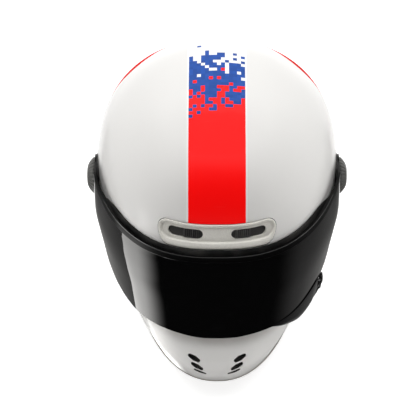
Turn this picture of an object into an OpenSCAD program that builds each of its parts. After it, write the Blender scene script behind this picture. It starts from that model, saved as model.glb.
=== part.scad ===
// Full face motorcycle helmet, in millimetres. The wearer looks along -Y, their left side is +X.
// The origin lies on the resting plane, under the middle of the bounding box.

/* [Shell] */
// Length of the outer shell from chin to rear
shell_l = 336; // [320:1:350]
// Greatest width of the outer shell
shell_w = 247.6; // [240:0.2:256]
// Height of the outer shell from its lower edge to the apex
shell_h = 251; // [244:1:258]
// Wall of the outer shell
shell_t = 4; // [3.6:0.1:4.6]
// How far the lower edge arches up beside the neck
edge_arch = 8; // [4:1:12]

/* [Eyeport] */
// Height of the eyeport's lower edge at the centre
port_low_z = 87; // [84:1:92]
// Height of the eyeport's upper edge at the centre
port_top_z = 173; // [168:1:175]
// Half angle of the eyeport, measured round the shell
port_half_angle = 64; // [60:1:66]
// Width of the rubber gasket on the shell
gasket_w = 8; // [6:0.5:9]
// Height of the gasket over the shell
gasket_h = 2.6; // [2:0.1:2.8]

/* [Visor] */
// Gap between shell and visor
visor_gap = 3.2; // [3:0.1:4]
// Thickness of the visor
visor_t = 2.2; // [1.8:0.1:2.8]
// Height of the visor's lower edge at the centre
visor_low_z = 82; // [78:1:85]
// Height of the visor's upper edge at the centre
visor_top_z = 176.5; // [174:0.5:178]
// Height of the thickened band along the visor's upper edge
visor_band_h = 9; // [7:0.5:12]
// Extra thickness of that band
visor_band_t = 1.4; // [1:0.1:2]
// How far the visor bulges over its gap, beside the eyes and towards its lower edge
visor_bulge = 5; // [4:0.1:6]

/* [Pivots] */
// Place of the pivot axis along Y
pivot_y = 8; // [4:0.5:10]
// Height of the pivot axis
pivot_z = 150; // [147:0.5:153]
// Radius of the base plate let into the shell
base_r = 23.8; // [22:0.1:25]
// Radius of the boss that the visor turns on
boss_r = 10; // [8:0.1:11]
// Radius of the visor's ear
ear_r = 22; // [20:0.5:24]
// Radius of the hub cover
hub_r = 16.5; // [15:0.5:19]
// Height of the hub cover over the visor
hub_h = 8; // [6:0.1:9]
// Radius of the hub screw's shank
hub_screw_r = 2; // [1.5:0.1:2.5]
// Radius of the base plate screws' shanks
base_screw_r = 1.6; // [1.4:0.1:1.8]

/* [Forehead vent] */
// Height of the vent's middle
vent_z = 193.6; // [192:0.2:195]
// Width of the vent frame
vent_w = 116; // [110:1:120]
// Height of the vent frame along the shell
vent_h = 20.6; // [19:0.2:22]
// Distance from the middle to each window
window_in = 14; // [12:0.5:16]
// Length of each window
window_l = 35; // [32:0.5:36]
// Height of each window
window_h = 9.6; // [9:0.1:10.5]
// How much wider the lip is under the windows than over them
lip_drop = 4.5; // [3.5:0.1:4.6]

/* [Chin vents] */
// Number of slots on each side
slot_count = 3; // [1:1:3]
// Length of a slot
slot_l = 14; // [12:0.5:15]
// Width of the uppermost slot
slot_w = 5.8; // [4.6:0.1:6]
// Difference in height between slots
slot_pitch = 6.4; // [6.2:0.1:6.8]
// Slant of the slots in degrees
slot_slant = 20; // [16:1:22]

/* [Lining] */
// Half width of the head space inside the pads
head_x = 79; // [76:0.5:82]
// Half length of the head space inside the pads
head_y = 101; // [98:0.5:104]
// Height of the head space over its centre
head_z = 88; // [84:0.5:92]
// Thickness of the comfort lining
pad_t = 9; // [7:0.5:11]
// Depth of the channels in the comfort lining
channel_d = 3; // [1:0.5:4]
// Half width of the gap between the cheek pads
cheek_x = 64; // [60:1:70]

/* [Chin strap] */
// Width of the webbing
strap_w = 24; // [20:0.5:25]
// Thickness of the webbing
strap_t = 2.2; // [1.8:0.1:2.4]
// Radius of the wire of the rings
ring_wire_r = 2; // [1.7:0.1:2.1]
// Radius of the round side of each ring
ring_r = 15.5; // [15:0.5:17]
// Radius of the rivets' shanks
rivet_r = 3; // [2.5:0.1:3.5]

/* [Visor latch] */
// Height of the latch housing over the visor
latch_h = 4.2; // [3:0.1:5]
// Radius of the latch pin
latch_pin_r = 1.2; // [1:0.1:1.4]
// Length of the lever's tab
lever_l = 9; // [7:0.5:10]

/* [Hidden] */
$fn = 48;

// Clearances
fit = 0.2;
shaft_fit = 0.05;
running = 0.3;

// Height of the shell's lower edge over the resting plane, filled by the trim
edge_z = 4;
// Angle between two columns of the shell's mesh, and of the linings' meshes
shell_step = 8;
lining_step = 12;

// Profiles of the shell: [share of the way up, share of the length, share of the height]
front_profile = [[0, -0.426, 0], [0.06, -0.473, 0.068], [0.14, -0.5, 0.175], [0.185, -0.477, 0.223],
    [0.25, -0.436, 0.307], [0.4, -0.387, 0.515], [0.53, -0.345, 0.693], [0.68, -0.242, 0.864],
    [0.8, -0.128, 0.952], [1, 0.083, 1]];
rear_profile = [[0, 0.357, 0], [0.1, 0.406, 0.135], [0.24, 0.471, 0.335], [0.39, 0.5, 0.534],
    [0.53, 0.474, 0.729], [0.68, 0.376, 0.892], [0.82, 0.266, 0.976], [1, 0.083, 1]];
// Profile of the side: [share of the way up, share of the half width, share of the height]
side_profile = [[0, 0.752, 0], [0.09, 0.778, 0.143], [0.2, 0.889, 0.287], [0.33, 0.957, 0.446],
    [0.45, 1, 0.602], [0.61, 0.901, 0.797], [0.8, 0.5, 0.954], [1, 0, 1]];

// Plain helpers
function lerp(a, b, k) = a + (b - a) * k;
function clamp(x, lo = 0, hi = 1) = min(hi, max(lo, x));
function smooth(k) = let (c = clamp(k)) c * c * (3 - 2 * c);
function unit(v) = v / norm(v);

// A profile with one more point at each end, so that it has a slope there
function before_first(p) = [2 * p[0][0] - p[1][0], 2 * p[0][1] - p[1][1], 2 * p[0][2] - p[1][2]];
function past_apex(p, sign) = let (q = p[len(p) - 2]) [2 - q[0], sign * q[1], q[2]];
front_line = concat([before_first(front_profile)], front_profile, [past_apex(rear_profile, 1)]);
rear_line = concat([before_first(rear_profile)], rear_profile, [past_apex(front_profile, 1)]);
side_line = concat([before_first(side_profile)], side_profile, [past_apex(side_profile, -1)]);

// Smooth curve through a profile's points
function knot(p, t, i = 1) = i >= len(p) - 3 || t < p[i + 1][0] ? i : knot(p, t, i + 1);
function slope(p, i) = [for (k = [1, 2]) (p[i + 1][k] - p[i - 1][k]) / (p[i + 1][0] - p[i - 1][0])];
function along(p, t) =
    let (i = knot(p, t), h = p[i + 1][0] - p[i][0], x = (t - p[i][0]) / h,
        a = slope(p, i), b = slope(p, i + 1))
    [for (k = [0, 1]) (2 * x * x * x - 3 * x * x + 1) * p[i][k + 1] + (x * x * x - 2 * x * x + x) * h * a[k]
        + (3 * x * x - 2 * x * x * x) * p[i + 1][k + 1] + (x * x * x - x * x) * h * b[k]];

// Squareness of the level sections, from the lower edge (t = 0) to the apex (t = 1)
function nose_power(t) = t < 0.5 ? lerp(2.2, 2.7, 2 * t) : lerp(2.7, 2, 2 * t - 1);
function flank_power(t) = t < 0.5 ? lerp(1.57, 1.94, 2 * t) : lerp(1.94, 2, 2 * t - 1);
function back_power(t) = lerp(2.24, 2, clamp(4 * t - 3));
function widest_y(t) = (0.0536 + 0.0298 * t) * shell_l;

// Share of the arch at the side that a point takes: none at the front and rear, where the edge lies level
function arch(t, s) = let (flat = 0.12 * (1 - clamp(4 * t)))
    pow(clamp((s * s - flat) / (1 - flat)), 2 - clamp(4 * t));

// Point of the outer shell, t of the way up and u degrees round from the front
function shell_point(t, u) =
    let (c = cos(u), s = sin(u), front = along(front_line, t), rear = along(rear_line, t),
        side = along(side_line, t), end = c >= 0 ? front : rear,
        across = c >= 0 ? nose_power(t) : back_power(t), ahead = c >= 0 ? flank_power(t) : back_power(t),
        side_z = side[1] * shell_h + edge_arch * (1 - clamp(6 * t)))
    [sign(s) * side[0] * shell_w / 2 * pow(abs(s), 2 / across),
        lerp(widest_y(t), end[0] * shell_l, pow(abs(c), 2 / ahead)),
        edge_z + lerp(end[1] * shell_h, side_z, arch(t, s))];

// Outward normal, and the point that lies off it by a distance
function outward(t, u) = t > 0.998 ? [0, 0, 1] :
    unit(cross(shell_point(t, u + 0.3) - shell_point(t, u - 0.3),
        shell_point(min(t + 0.001, 1), u) - shell_point(max(t - 0.001, 0), u)));
function skin(t, u, off = 0) = shell_point(t, u) + off * outward(t, u);

// Point of the shell moved level inwards
function inward(t, u, depth) = let (n = outward(t, u)) shell_point(t, u) - depth * unit([n[0], n[1], 0]);

// The angle u at which the section t of the way up is x wide
function u_at(t, x) = let (side = along(side_line, t)[0] * shell_w / 2)
    sign(x) * asin(pow(clamp(abs(x) / side), nose_power(t) / 2));
// The share t at which the front profile is z high
function t_at(z, lo = 0, hi = 1, n = 16) = n == 0 ? (lo + hi) / 2 :
    let (mid = (lo + hi) / 2) edge_z + along(front_line, mid)[1] * shell_h < z ?
        t_at(z, mid, hi, n - 1) : t_at(z, lo, mid, n - 1);

// Closed solid between two sheets of points, [column][row], over the cells that keep() names.
// Columns run to the wearer's left and rows up. With apex, the last row is one point.
module between(outer, inner, keep, wrap = false, apex = false) {
    columns = len(outer);
    rows = len(outer[0]);
    last = wrap ? columns - 1 : columns - 2;
    function id(layer, j, i) = layer * columns * rows + (apex && i == rows - 1 ? 0 : j % columns) * rows + i;
    function solid(j, i) = i > rows - 2 ? apex : i < 0 || (!wrap && (j < 0 || j > last)) ? false :
        keep((j + columns) % columns, i);
    function tris(a, b, c, d) = [for (f = [[a, b, c], [a, c, d]])
        if (f[0] != f[1] && f[1] != f[2] && f[0] != f[2]) f];
    function wall(a, b) = tris(id(0, a[0], a[1]), id(0, b[0], b[1]), id(1, b[0], b[1]), id(1, a[0], a[1]));
    faces = [for (j = [0:last], i = [0:rows - 2]) if (solid(j, i))
        let (a = [j, i], b = [j + 1, i], c = [j + 1, i + 1], d = [j, i + 1])
        each concat(
            tris(id(0, j, i), id(0, j, i + 1), id(0, j + 1, i + 1), id(0, j + 1, i)),
            tris(id(1, j, i), id(1, j + 1, i), id(1, j + 1, i + 1), id(1, j, i + 1)),
            solid(j, i - 1) ? [] : wall(a, b),
            solid(j + 1, i) ? [] : wall(b, c),
            solid(j, i + 1) ? [] : wall(c, d),
            solid(j - 1, i) ? [] : wall(d, a))];
    polyhedron(concat([for (column = outer) each column], [for (column = inner) each column]), faces);
}
everywhere = function(j, i) true;

// Children placed on the shell: x runs to the wearer's left, y up the shell and z outwards
module on_skin(t, u, off = 0) {
    n = outward(t, u);
    e = unit(shell_point(t, u + 0.5) - shell_point(t, u - 0.5));
    v = unit(cross(n, e));
    x = cross(v, n);
    p = skin(t, u, off);
    multmatrix([[x[0], v[0], n[0], p[0]], [x[1], v[1], n[1], p[1]], [x[2], v[2], n[2], p[2]], [0, 0, 0, 1]])
        children();
}
// Children turned so that their z axis points out of one side of the helmet, side = 1 on the wearer's left
module at_pivot(side, x) {
    translate([side * x, pivot_y, pivot_z]) rotate([0, side * 90, 0]) children();
}
module both_sides() {
    children();
    mirror([1, 0, 0]) children();
}

// Eyeport: lower and upper edge at each angle, with rounded corners
port_low = t_at(port_low_z);
port_top = t_at(port_top_z);
port_corner = 0.07;
function port_close(u) = let (a = abs(u), start = port_half_angle - 16)
    port_corner * (a <= start ? 0 : a <= port_half_angle ? 1 - sqrt(1 - pow((a - start) / 16, 2)) :
        1 - smooth((a - port_half_angle) / 24));
function port_bottom(u) = port_low + port_close(u);
function port_head(u) = port_top - port_close(u);
port_columns = [for (a = [16, 8, 3.5, 1, 0]) port_half_angle - a];
port_us = concat([for (k = [len(port_columns) - 1:-1:0]) -port_columns[k]],
    [for (u = [-shell_step * 5:shell_step:shell_step * 5]) u], port_columns);
rear_us = let (n = round((360 - 2 * port_half_angle) / shell_step), step = (360 - 2 * port_half_angle) / n)
    [for (k = [1:n - 1]) port_half_angle + k * step];
shell_us = concat(port_us, rear_us);
function in_port(u) = abs(u) < port_half_angle;
low_shares = [0, 0.12, 0.32, 0.54, 0.7, 0.85];
function edge_row(u) = low_shares[1] * port_bottom(u);
middle_rows = 5;
top_rows = 9;
function shell_rows(u) = concat([for (f = low_shares) f * port_bottom(u)],
    [for (k = [0:middle_rows - 1]) lerp(port_bottom(u), port_head(u), k / middle_rows)],
    [for (k = [0:top_rows]) lerp(port_head(u), 1, k / top_rows)]);
function shell_sheet(off) = [for (u = shell_us) [for (t = shell_rows(u)) skin(t, u, off)]];

// Forehead vent: a place a across and b up from its middle
vent_t = t_at(vent_z);
vent_scale = norm(shell_point(vent_t + 0.01, 0) - shell_point(vent_t - 0.01, 0)) / 0.02;
function on_vent(a, b, off) = let (t = vent_t + b / vent_scale) skin(t, u_at(t, a), off);
function vent_half(a, grow = 0) =
    let (r = vent_h / 2 + grow, past = clamp(abs(a) - (vent_w / 2 - vent_h / 2), 0, 0.985 * r))
    sqrt(r * r - past * past);
function vent_sheet(as, shares, off, grow = 0) = [for (a = as) let (half = vent_half(a, grow))
    [for (f = shares)
        on_vent(a, f * half - (f < -lip_share - 0.001 ? lip_drop * half / (vent_h / 2) : 0), off(a, f))]];
lip_w = 2.2;
vent_end = vent_w / 2;
vent_as_half = [window_in, window_in + 1.2, window_in + window_l / 2, window_in + window_l - 1.2,
    window_in + window_l, vent_end - vent_h / 2 + 3, vent_end - lip_w - 0.6, vent_end - lip_w, vent_end];
vent_as = concat([for (k = [len(vent_as_half) - 1:-1:0]) -vent_as_half[k]], [-5, 5], vent_as_half);
window_share = window_h / vent_h;
lip_share = 1 - 2 * lip_w / vent_h;
vent_shares = concat([-1, -lip_share, 0.08 - lip_share, -window_share],
    [window_share, lip_share - 0.08, lip_share, 1]);
// The floor of the frame lies this far under the shell, its lip this far over it
vent_floor = -1.4;
vent_lip = 0.9;
frame_under = -shell_t - 0.3;

// Track of the sliders: the level circle through three places on the left window
function circle_through(a, b, c) =
    let (d = 2 * (a[0] * (b[1] - c[1]) + b[0] * (c[1] - a[1]) + c[0] * (a[1] - b[1])),
    aa = a[0] * a[0] + a[1] * a[1], bb = b[0] * b[0] + b[1] * b[1], cc = c[0] * c[0] + c[1] * c[1])
    [(aa * (b[1] - c[1]) + bb * (c[1] - a[1]) + cc * (a[1] - b[1])) / d,
     (aa * (c[0] - b[0]) + bb * (a[0] - c[0]) + cc * (b[0] - a[0])) / d];
track_p = [for (a = [window_in, window_in + window_l / 2, window_in + window_l]) on_vent(a, 0, 0)];
track_c = circle_through(track_p[0], track_p[1], track_p[2]);
track_r = norm([track_p[1][0] - track_c[0], track_p[1][1] - track_c[1]]);
vent_n = outward(vent_t, u_at(vent_t, window_in + window_l / 2));
vent_tilt = asin(vent_n[2]);
function track_angle(a) = let (p = on_vent(a, 0, 0)) atan2(p[1] - track_c[1], p[0] - track_c[0]);

// Places along X at the pivots, from the shell outwards
dish_x = shell_w / 2 - 1.3;
plate_x = dish_x + running;
base_t = 1.6;
floor_x = plate_x - base_t - fit;
// Radius of the shallow dish in which the ear turns
dish_r = ear_r + 4;
ear_x = plate_x + running;
cover_x = ear_x + visor_t + running;

// Visor: it follows the shell and flattens into an ear at each pivot
visor_low = t_at(visor_low_z);
visor_top = t_at(visor_top_z);
ear_low = t_at(pivot_z - 1.1 * ear_r);
visor_end_angle = 74;
function visor_bottom(u) = lerp(visor_low, ear_low, pow(clamp((abs(u) - 52) / (visor_end_angle - 52)), 1.35));
function bulge(u, f) =
    visor_bulge * smooth((abs(u) - 12) / 26) * (1 - smooth((abs(u) - 58) / 14)) * (1 - f * f);
flat_r = 1.2 * ear_r;
function visor_point(t, u, off, plane_x) =
    let (p = skin(t, u, off), r = norm([p[1] - pivot_y, p[2] - pivot_z]))
    [lerp(p[0], sign(p[0]) * plane_x, 1 - smooth((r - flat_r) / 36)), p[1], p[2]];
band_share = 1 - visor_band_h / (visor_top_z - visor_low_z);
visor_shares = [0, 0.16, 0.34, 0.52, 0.7, band_share - 0.015, band_share, 1];
visor_step = 6;
visor_us = let (n = round(2 * visor_end_angle / visor_step))
    [for (k = [0:n]) lerp(-visor_end_angle, visor_end_angle, k / n)];
function visor_sheet(off, band, plane_x) = [for (u = visor_us) [for (f = visor_shares)
    visor_point(lerp(visor_bottom(u), visor_top, f), u, off + bulge(u, f) + (f >= band_share ? band : 0),
        plane_x)]];

// Flat shape given by its Y and Z coordinates, raised along X from a place on the wearer's left
module side_plate(x, h) {
    translate([x, 0, 0]) rotate([90, 0, 90]) linear_extrude(h) children();
}

// Head space: an ellipsoid over its centre and an oval tube under it, grown by a distance
head_c = [0, 22, 130];
function cavity(p, grow) =
    let (d = p - head_c, rx = head_x + grow, ry = head_y + grow, rz = head_z + grow)
    d[2] > 0 ? head_c + d / norm([d[0] / rx, d[1] / ry, d[2] / rz]) :
    let (k = 1 / norm([d[0] / rx, d[1] / ry])) [d[0] * k, head_c[1] + d[1] * k, p[2]];
lining_edge = port_half_angle + 2;
// Half width of the tray under the vent, and the angle to which the lining's pocket for it reaches
duct_half = vent_w / 2 + 4;
pocket_u = u_at(vent_t, duct_half);
front_us = [0, 12, pocket_u, pocket_u + 8, 45, 55, lining_edge];
lining_us = concat([for (k = [len(front_us) - 1:-1:1]) -front_us[k]], front_us,
    let (n = round((360 - 2 * lining_edge) / lining_step))
        [for (k = [1:n - 1]) lining_edge + k * (360 - 2 * lining_edge) / n]);
function from_front(u) = u > 180 ? 360 - u : abs(u);
brow_t = port_top + 0.016;
lining_gap = shell_t + 1.1;
// Pocket in the lining over which the vent's sliders run
pocket_off = -11;
pocket_top_t = vent_t + 0.75 * vent_h / vent_scale + 0.012;

// Soft swelling of a cushion between two of its edges
function swell(k) = pow(sin(180 * clamp(k, 0.001, 0.999)), 0.6);

module shell() {
    color("white") difference() {
        between(shell_sheet(0), shell_sheet(-shell_t),
            function(j, i) j >= len(port_us) - 1 || i < len(low_shares) || i >= len(low_shares) + middle_rows,
            wrap = true, apex = true);
        both_sides() at_pivot(1, dish_x) cylinder(r = dish_r, h = 12);
        both_sides() at_pivot(1, floor_x) cylinder(r = base_r + fit, h = 12);
        both_sides() base_screw_places() translate([0, 0, -12])
            cylinder(r = base_screw_r + fit, h = 14, $fn = 16);
        between(vent_sheet(vent_as, [-1, 1], function(a, f) 6, fit),
            vent_sheet(vent_as, [-1, 1], function(a, f) -shell_t - 6, fit), everywhere);
        both_sides() for (k = [0:slot_count - 1]) chin_slot(k);
        both_sides() at_exhaust() hull() for (x = [-7, 7]) translate([x, 0, -8])
            cylinder(r = 3, h = 16, $fn = 16);
        both_sides() at_rivet() translate([0, 0, -12]) cylinder(r = rivet_r + fit, h = 24, $fn = 16);
    }
}

// One lens-shaped slot of the chin, cut square to the shell; the first is the uppermost and widest
slot_z = 59.2;
module chin_slot(k) {
    t = t_at(slot_z - k * slot_pitch);
    r = slot_w / 2 * (1 - 0.16 * k);
    on_skin(t, u_at(t, 23.3 - 3 * k)) rotate([0, 0, slot_slant]) hull() {
        translate([0, 0, -shell_t - 3]) cylinder(r = r, h = 2 * shell_t + 6, $fn = 24);
        for (x = [-1, 1]) translate([x * (slot_l / 2 - 0.7 * r), 0, -shell_t - 3])
            cylinder(r = 0.7 * r, h = 2 * shell_t + 6, $fn = 12);
    }
}
exhaust_t = 0.47;
exhaust_u = 160;
module at_exhaust() {
    on_skin(exhaust_t, exhaust_u) children();
}
rivet_t = 0.1;
module at_rivet() {
    on_skin(rivet_t, 90) children();
}
module base_screw_places() {
    for (s = [-1, 1]) at_pivot(1, plate_x) translate([0, s * (boss_r + base_r) / 2, 0]) children();
}

module eps_liner() {
    side_t = 0.33;
    nape_t = 0.2;
    function low_t(u) = lerp(side_t, nape_t, smooth((from_front(u) - 126) / 30));
    function rows(u) = concat([for (k = [0:2]) lerp(low_t(u), brow_t, k / 3)], [brow_t, pocket_top_t],
        [for (k = [1:6]) lerp(pocket_top_t, 1, k / 6)]);
    function off(t, u) = from_front(u) < pocket_u + 1 && t < pocket_top_t + 0.001 ? pocket_off : -lining_gap;
    color("dimgray") between([for (u = lining_us) [for (t = rows(u)) skin(t, u, off(t, u))]],
        [for (u = lining_us) [for (t = rows(u)) cavity(shell_point(t, u), pad_t)]],
        function(j, i) j > 2 * len(front_us) - 3 || i > 2, wrap = true, apex = true);
}

module chin_eps() {
    us = [for (u = [-56:shell_step:56]) u];
    ts = chin_ts;
    function off(t, u) = -lining_gap - (abs(u) <= 24 && t > 0.09 && t < port_low - 0.02 ? 3.5 : 0.3);
    color("dimgray") between([for (u = us) [for (t = ts) skin(t, u, off(t, u))]],
        [for (u = us) [for (t = ts) inward(t, u, chin_depth)]], everywhere);
}
chin_depth = 26;
chin_ts = concat([for (k = [0:5]) lerp(0.055, port_low - 0.03, k / 5)], [port_low - 0.004]);

module crown_pad() {
    side_t = 0.37;
    nape_t = 0.25;
    function low_t(u) = let (a = from_front(u)) a <= lining_edge ? brow_t + 0.02 :
        lerp(side_t, nape_t, smooth((a - 126) / 30));
    rows = 8;
    function at(j, i) = let (u = lining_us[j]) shell_point(lerp(low_t(u), 1, i / rows), u);
    function face(j, i) = i == 0 ? pad_t - 3 : i == rows ? 0 : j % 3 == 0 ? channel_d : 0;
    us = [0:len(lining_us) - 1];
    color("darkgray") between([for (j = us) [for (i = [0:rows]) cavity(at(j, i), pad_t - 1.1)]],
        [for (j = us) [for (i = [0:rows]) cavity(at(j, i), face(j, i))]],
        everywhere, wrap = true, apex = true);
}

// Cushion between the shell and the wearer's left cheek, hollowed behind where the strap passes
module cheek_pad() {
    us = [68, 72, 80, 88, 96, 104, 112, 120];
    ts = [0.05, 0.085, 0.13, 0.175, 0.22, 0.265, 0.3];
    function off(t, u) = t < 0.2 && abs(u - 90) < 10 ? -lining_gap - 8.5 :
        u < 78 && t > 0.15 ? -lining_gap - 0.6 : -shell_t - 0.9;
    function face(j, i) =
        let (q = skin(ts[i], us[j], -lining_gap - 11),
            k = swell(j / (len(us) - 1)) * swell(i / (len(ts) - 1)))
        [lerp(q[0], cheek_x + (i == 4 ? channel_d : 0), k), lerp(q[1], 0.85 * q[1] + 3, k), q[2]];
    color("dimgray") between([for (u = us) [for (t = ts) skin(t, u, off(t, u))]],
        [for (j = [0:len(us) - 1]) [for (i = [0:len(ts) - 1]) face(j, i)]], everywhere);
}
module cheek_pad_left() { cheek_pad(); }
module cheek_pad_right() { mirror([1, 0, 0]) cheek_pad(); }

module neck_roll() {
    us = [for (u = [126:9:234]) u];
    ts = [0.045, 0.07, 0.1, 0.13, 0.155];
    color("dimgray") between([for (u = us) [for (t = ts) skin(t, u, -lining_gap)]],
        [for (j = [0:len(us) - 1]) [for (i = [0:len(ts) - 1])
            skin(ts[i], us[j], -lining_gap - 6 - 22 * swell(i / (len(ts) - 1)) * swell(j / (len(us) - 1)))]],
        everywhere);
}

// Rubber channel over the shell's lower edge; its lowest parts, front and rear, lie flat
trim_t = 2;
module edge_trim() {
    function under(u, off, up) = let (p = skin(0, u, off)) [p[0], p[1], shell_point(0, u)[2] - edge_z + up];
    function top(u, off) = skin(edge_row(u), u, off);
    function ring(u) = [top(u, fit + trim_t), under(u, fit + trim_t, 1.5), under(u, fit + trim_t - 1, 0),
        under(u, -shell_t - fit - trim_t + 1, 0), under(u, -shell_t - fit - trim_t, 1.5),
        top(u, -shell_t - fit - trim_t), top(u, -shell_t - fit),
        skin(0, u, -shell_t - fit) - [0, 0, fit], skin(0, u, fit) - [0, 0, fit], top(u, fit)];
    rings = [for (u = shell_us) ring(u)];
    n = len(rings[0]);
    m = len(rings);
    color("black") polyhedron([for (r = rings) each r],
        [for (j = [0:m - 1], k = [0:n - 1])
            let (a = j * n + k, b = ((j + 1) % m) * n + k,
                c = ((j + 1) % m) * n + (k + 1) % n, d = j * n + (k + 1) % n)
            each [[a, b, c], [a, c, d]]]);
}

// Rubber band round the eyeport, lying on the shell and reaching a little over the edge
module eyeport_gasket() {
    side = [for (k = [1:3]) lerp(port_head(port_half_angle), port_bottom(port_half_angle), k / 4)];
    loop = concat([for (u = port_us) [port_head(u), u]], [for (t = side) [t, port_half_angle]],
        [for (k = [len(port_us) - 1:-1:0]) [port_bottom(port_us[k]), port_us[k]]],
        [for (k = [2:-1:0]) [side[k], -port_half_angle]]);
    n = len(loop);
    per_t = 335;
    per_u = 2.05;
    function way(k) = let (d = loop[(k + 1) % n] - loop[(k + n - 1) % n]) unit([d[1] * per_u, -d[0] * per_t]);
    function moved(k, by, off) = let (w = way(k))
        skin(loop[k][0] + w[0] * by / per_t, loop[k][1] + w[1] * by / per_u, off);
    function row(k, offs) =
        [moved(k, -overhang, offs[0]), moved(k, gasket_w * 0.4, offs[1]), moved(k, gasket_w, offs[2])];
    overhang = 1.2;
    seat = 0.65;
    color([0.06, 0.06, 0.06]) between(
        [for (k = [0:n - 1]) row(k, [gasket_h * 0.8, gasket_h, gasket_h * 0.6])],
        [for (k = [0:n - 1]) row(k, [seat, seat, seat])],
        everywhere, wrap = true);
}

module visor() {
    end = visor_point(lerp(visor_bottom(visor_end_angle), visor_top, 0.5), visor_end_angle, visor_gap, ear_x);
    top = visor_point(visor_top, visor_end_angle, visor_gap, ear_x)[2];
    low = visor_point(visor_bottom(visor_end_angle), visor_end_angle, visor_gap, ear_x)[2];
    color([0.05, 0.05, 0.06]) {
        between(visor_sheet(visor_gap + visor_t, visor_band_t, ear_x + visor_t - 0.15),
            visor_sheet(visor_gap, 0, ear_x + 0.15), everywhere);
        both_sides() side_plate(ear_x, visor_t) difference() {
            union() {
                translate([pivot_y, pivot_z]) circle(ear_r);
                polygon([[end[1] - 5, top + 0.4], [pivot_y, pivot_z + ear_r], [pivot_y, pivot_z - ear_r],
                    [end[1] - 5, low - 0.4]]);
            }
            translate([pivot_y, pivot_z]) circle(boss_r + shaft_fit);
        }
    }
}

// Plate let into the shell, with the boss that the visor turns on
module pivot_base() {
    color("black") difference() {
        union() {
            at_pivot(1, floor_x + fit) cylinder(r = base_r, h = plate_x - floor_x - fit);
            at_pivot(1, plate_x - 1) cylinder(r = boss_r, h = cover_x - plate_x + 1 - shaft_fit);
        }
        at_pivot(1, floor_x) cylinder(r = hub_screw_r + fit, h = 20);
        base_screw_places() translate([0, 0, -10]) cylinder(r = base_screw_r + fit, h = 12);
        base_screw_places() translate([0, 0, -screw_head_h - fit])
            cylinder(r = 2 * base_screw_r + fit, h = 4);
    }
}
module pivot_base_left() { pivot_base(); }
module pivot_base_right() { mirror([1, 0, 0]) pivot_base(); }

screw_head_h = 0.9;
base_screw_l = base_t + shell_t / 2 - 0.3;
module base_screws() {
    color("silver") both_sides() base_screw_places() {
        translate([0, 0, -screw_head_h - 0.1]) cylinder(r = 2 * base_screw_r, h = screw_head_h);
        translate([0, 0, -base_screw_l]) cylinder(r = base_screw_r, h = base_screw_l - 0.5);
    }
}

head_seat = 1.8;
hub_screw_head_r = 2.3 * hub_screw_r;
module hub_cover() {
    eye = hub_screw_head_r + fit;
    color([0.2, 0.2, 0.2]) at_pivot(1, cover_x) rotate_extrude() polygon(concat(
        [[hub_screw_r + fit, 0], [hub_r, 0]],
        [for (a = [0:15:75]) [eye + 1 + (hub_r - eye - 1) * cos(a), 1.4 + (hub_h - 1.4) * sin(a)]],
        [[eye + 1, hub_h], [eye, hub_h], [eye, hub_h - head_seat], [hub_screw_r + fit, hub_h - head_seat]]));
}
module hub_cover_left() { hub_cover(); }
module hub_cover_right() { mirror([1, 0, 0]) hub_cover(); }

module hub_screws() {
    screw_l = cover_x + hub_h - head_seat - floor_x - 2 * fit;
    color("dimgray") both_sides() at_pivot(1, cover_x + hub_h - head_seat) difference() {
        union() {
            translate([0, 0, 0.05]) cylinder(r = hub_screw_head_r, h = head_seat - 0.3);
            translate([0, 0, -screw_l]) cylinder(r = hub_screw_r, h = screw_l + 1);
        }
        translate([-hub_screw_head_r, -0.6, head_seat - 1]) cube([2 * hub_screw_head_r, 1.2, 2]);
    }
}

// Frame let into the forehead: a raised lip round a sunk floor with two windows
module vent_frame() {
    lip_from = vent_end - lip_w - 0.1;
    top = function(a, f) abs(a) > lip_from || abs(f) > lip_share - 0.001 ? vent_lip : vent_floor;
    function open(j, i) = let (a = abs(vent_as[j] + vent_as[j + 1]) / 2)
        i == 3 && a > window_in && a < window_in + window_l;
    color("silver") between(vent_sheet(vent_as, vent_shares, top),
        vent_sheet(vent_as, vent_shares, function(a, f) frame_under), function(j, i) !open(j, i));
}

// Tray under the shell that carries the sliders, with an outlet under each window
slider_t = 1.4;
tray_top = frame_under - slider_t - 3 * running;
module vent_duct() {
    wall = 1.5;
    high = vent_h / 2 - 0.3;
    outlet = [window_in + 4, window_in + window_l - 3];
    as = concat([-duct_half, wall - duct_half, -outlet[1], -outlet[0]],
        [outlet[0], outlet[1], duct_half - wall, duct_half]);
    bs = [-high, wall - high, -0.36 * window_h, 0.36 * window_h, high - wall, high];
    rim = frame_under - running;
    function top(a, b) = abs(a) > duct_half - wall + 0.1 || abs(b) > high - wall + 0.1 ? rim : tray_top;
    color("black") between([for (a = as) [for (b = bs) on_vent(a, b, top(a, b))]],
        [for (a = as) [for (b = bs) on_vent(a, b, tray_top - 1.2)]],
        function(j, i) i != 2 || (j != 2 && j != 4));
}

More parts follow.
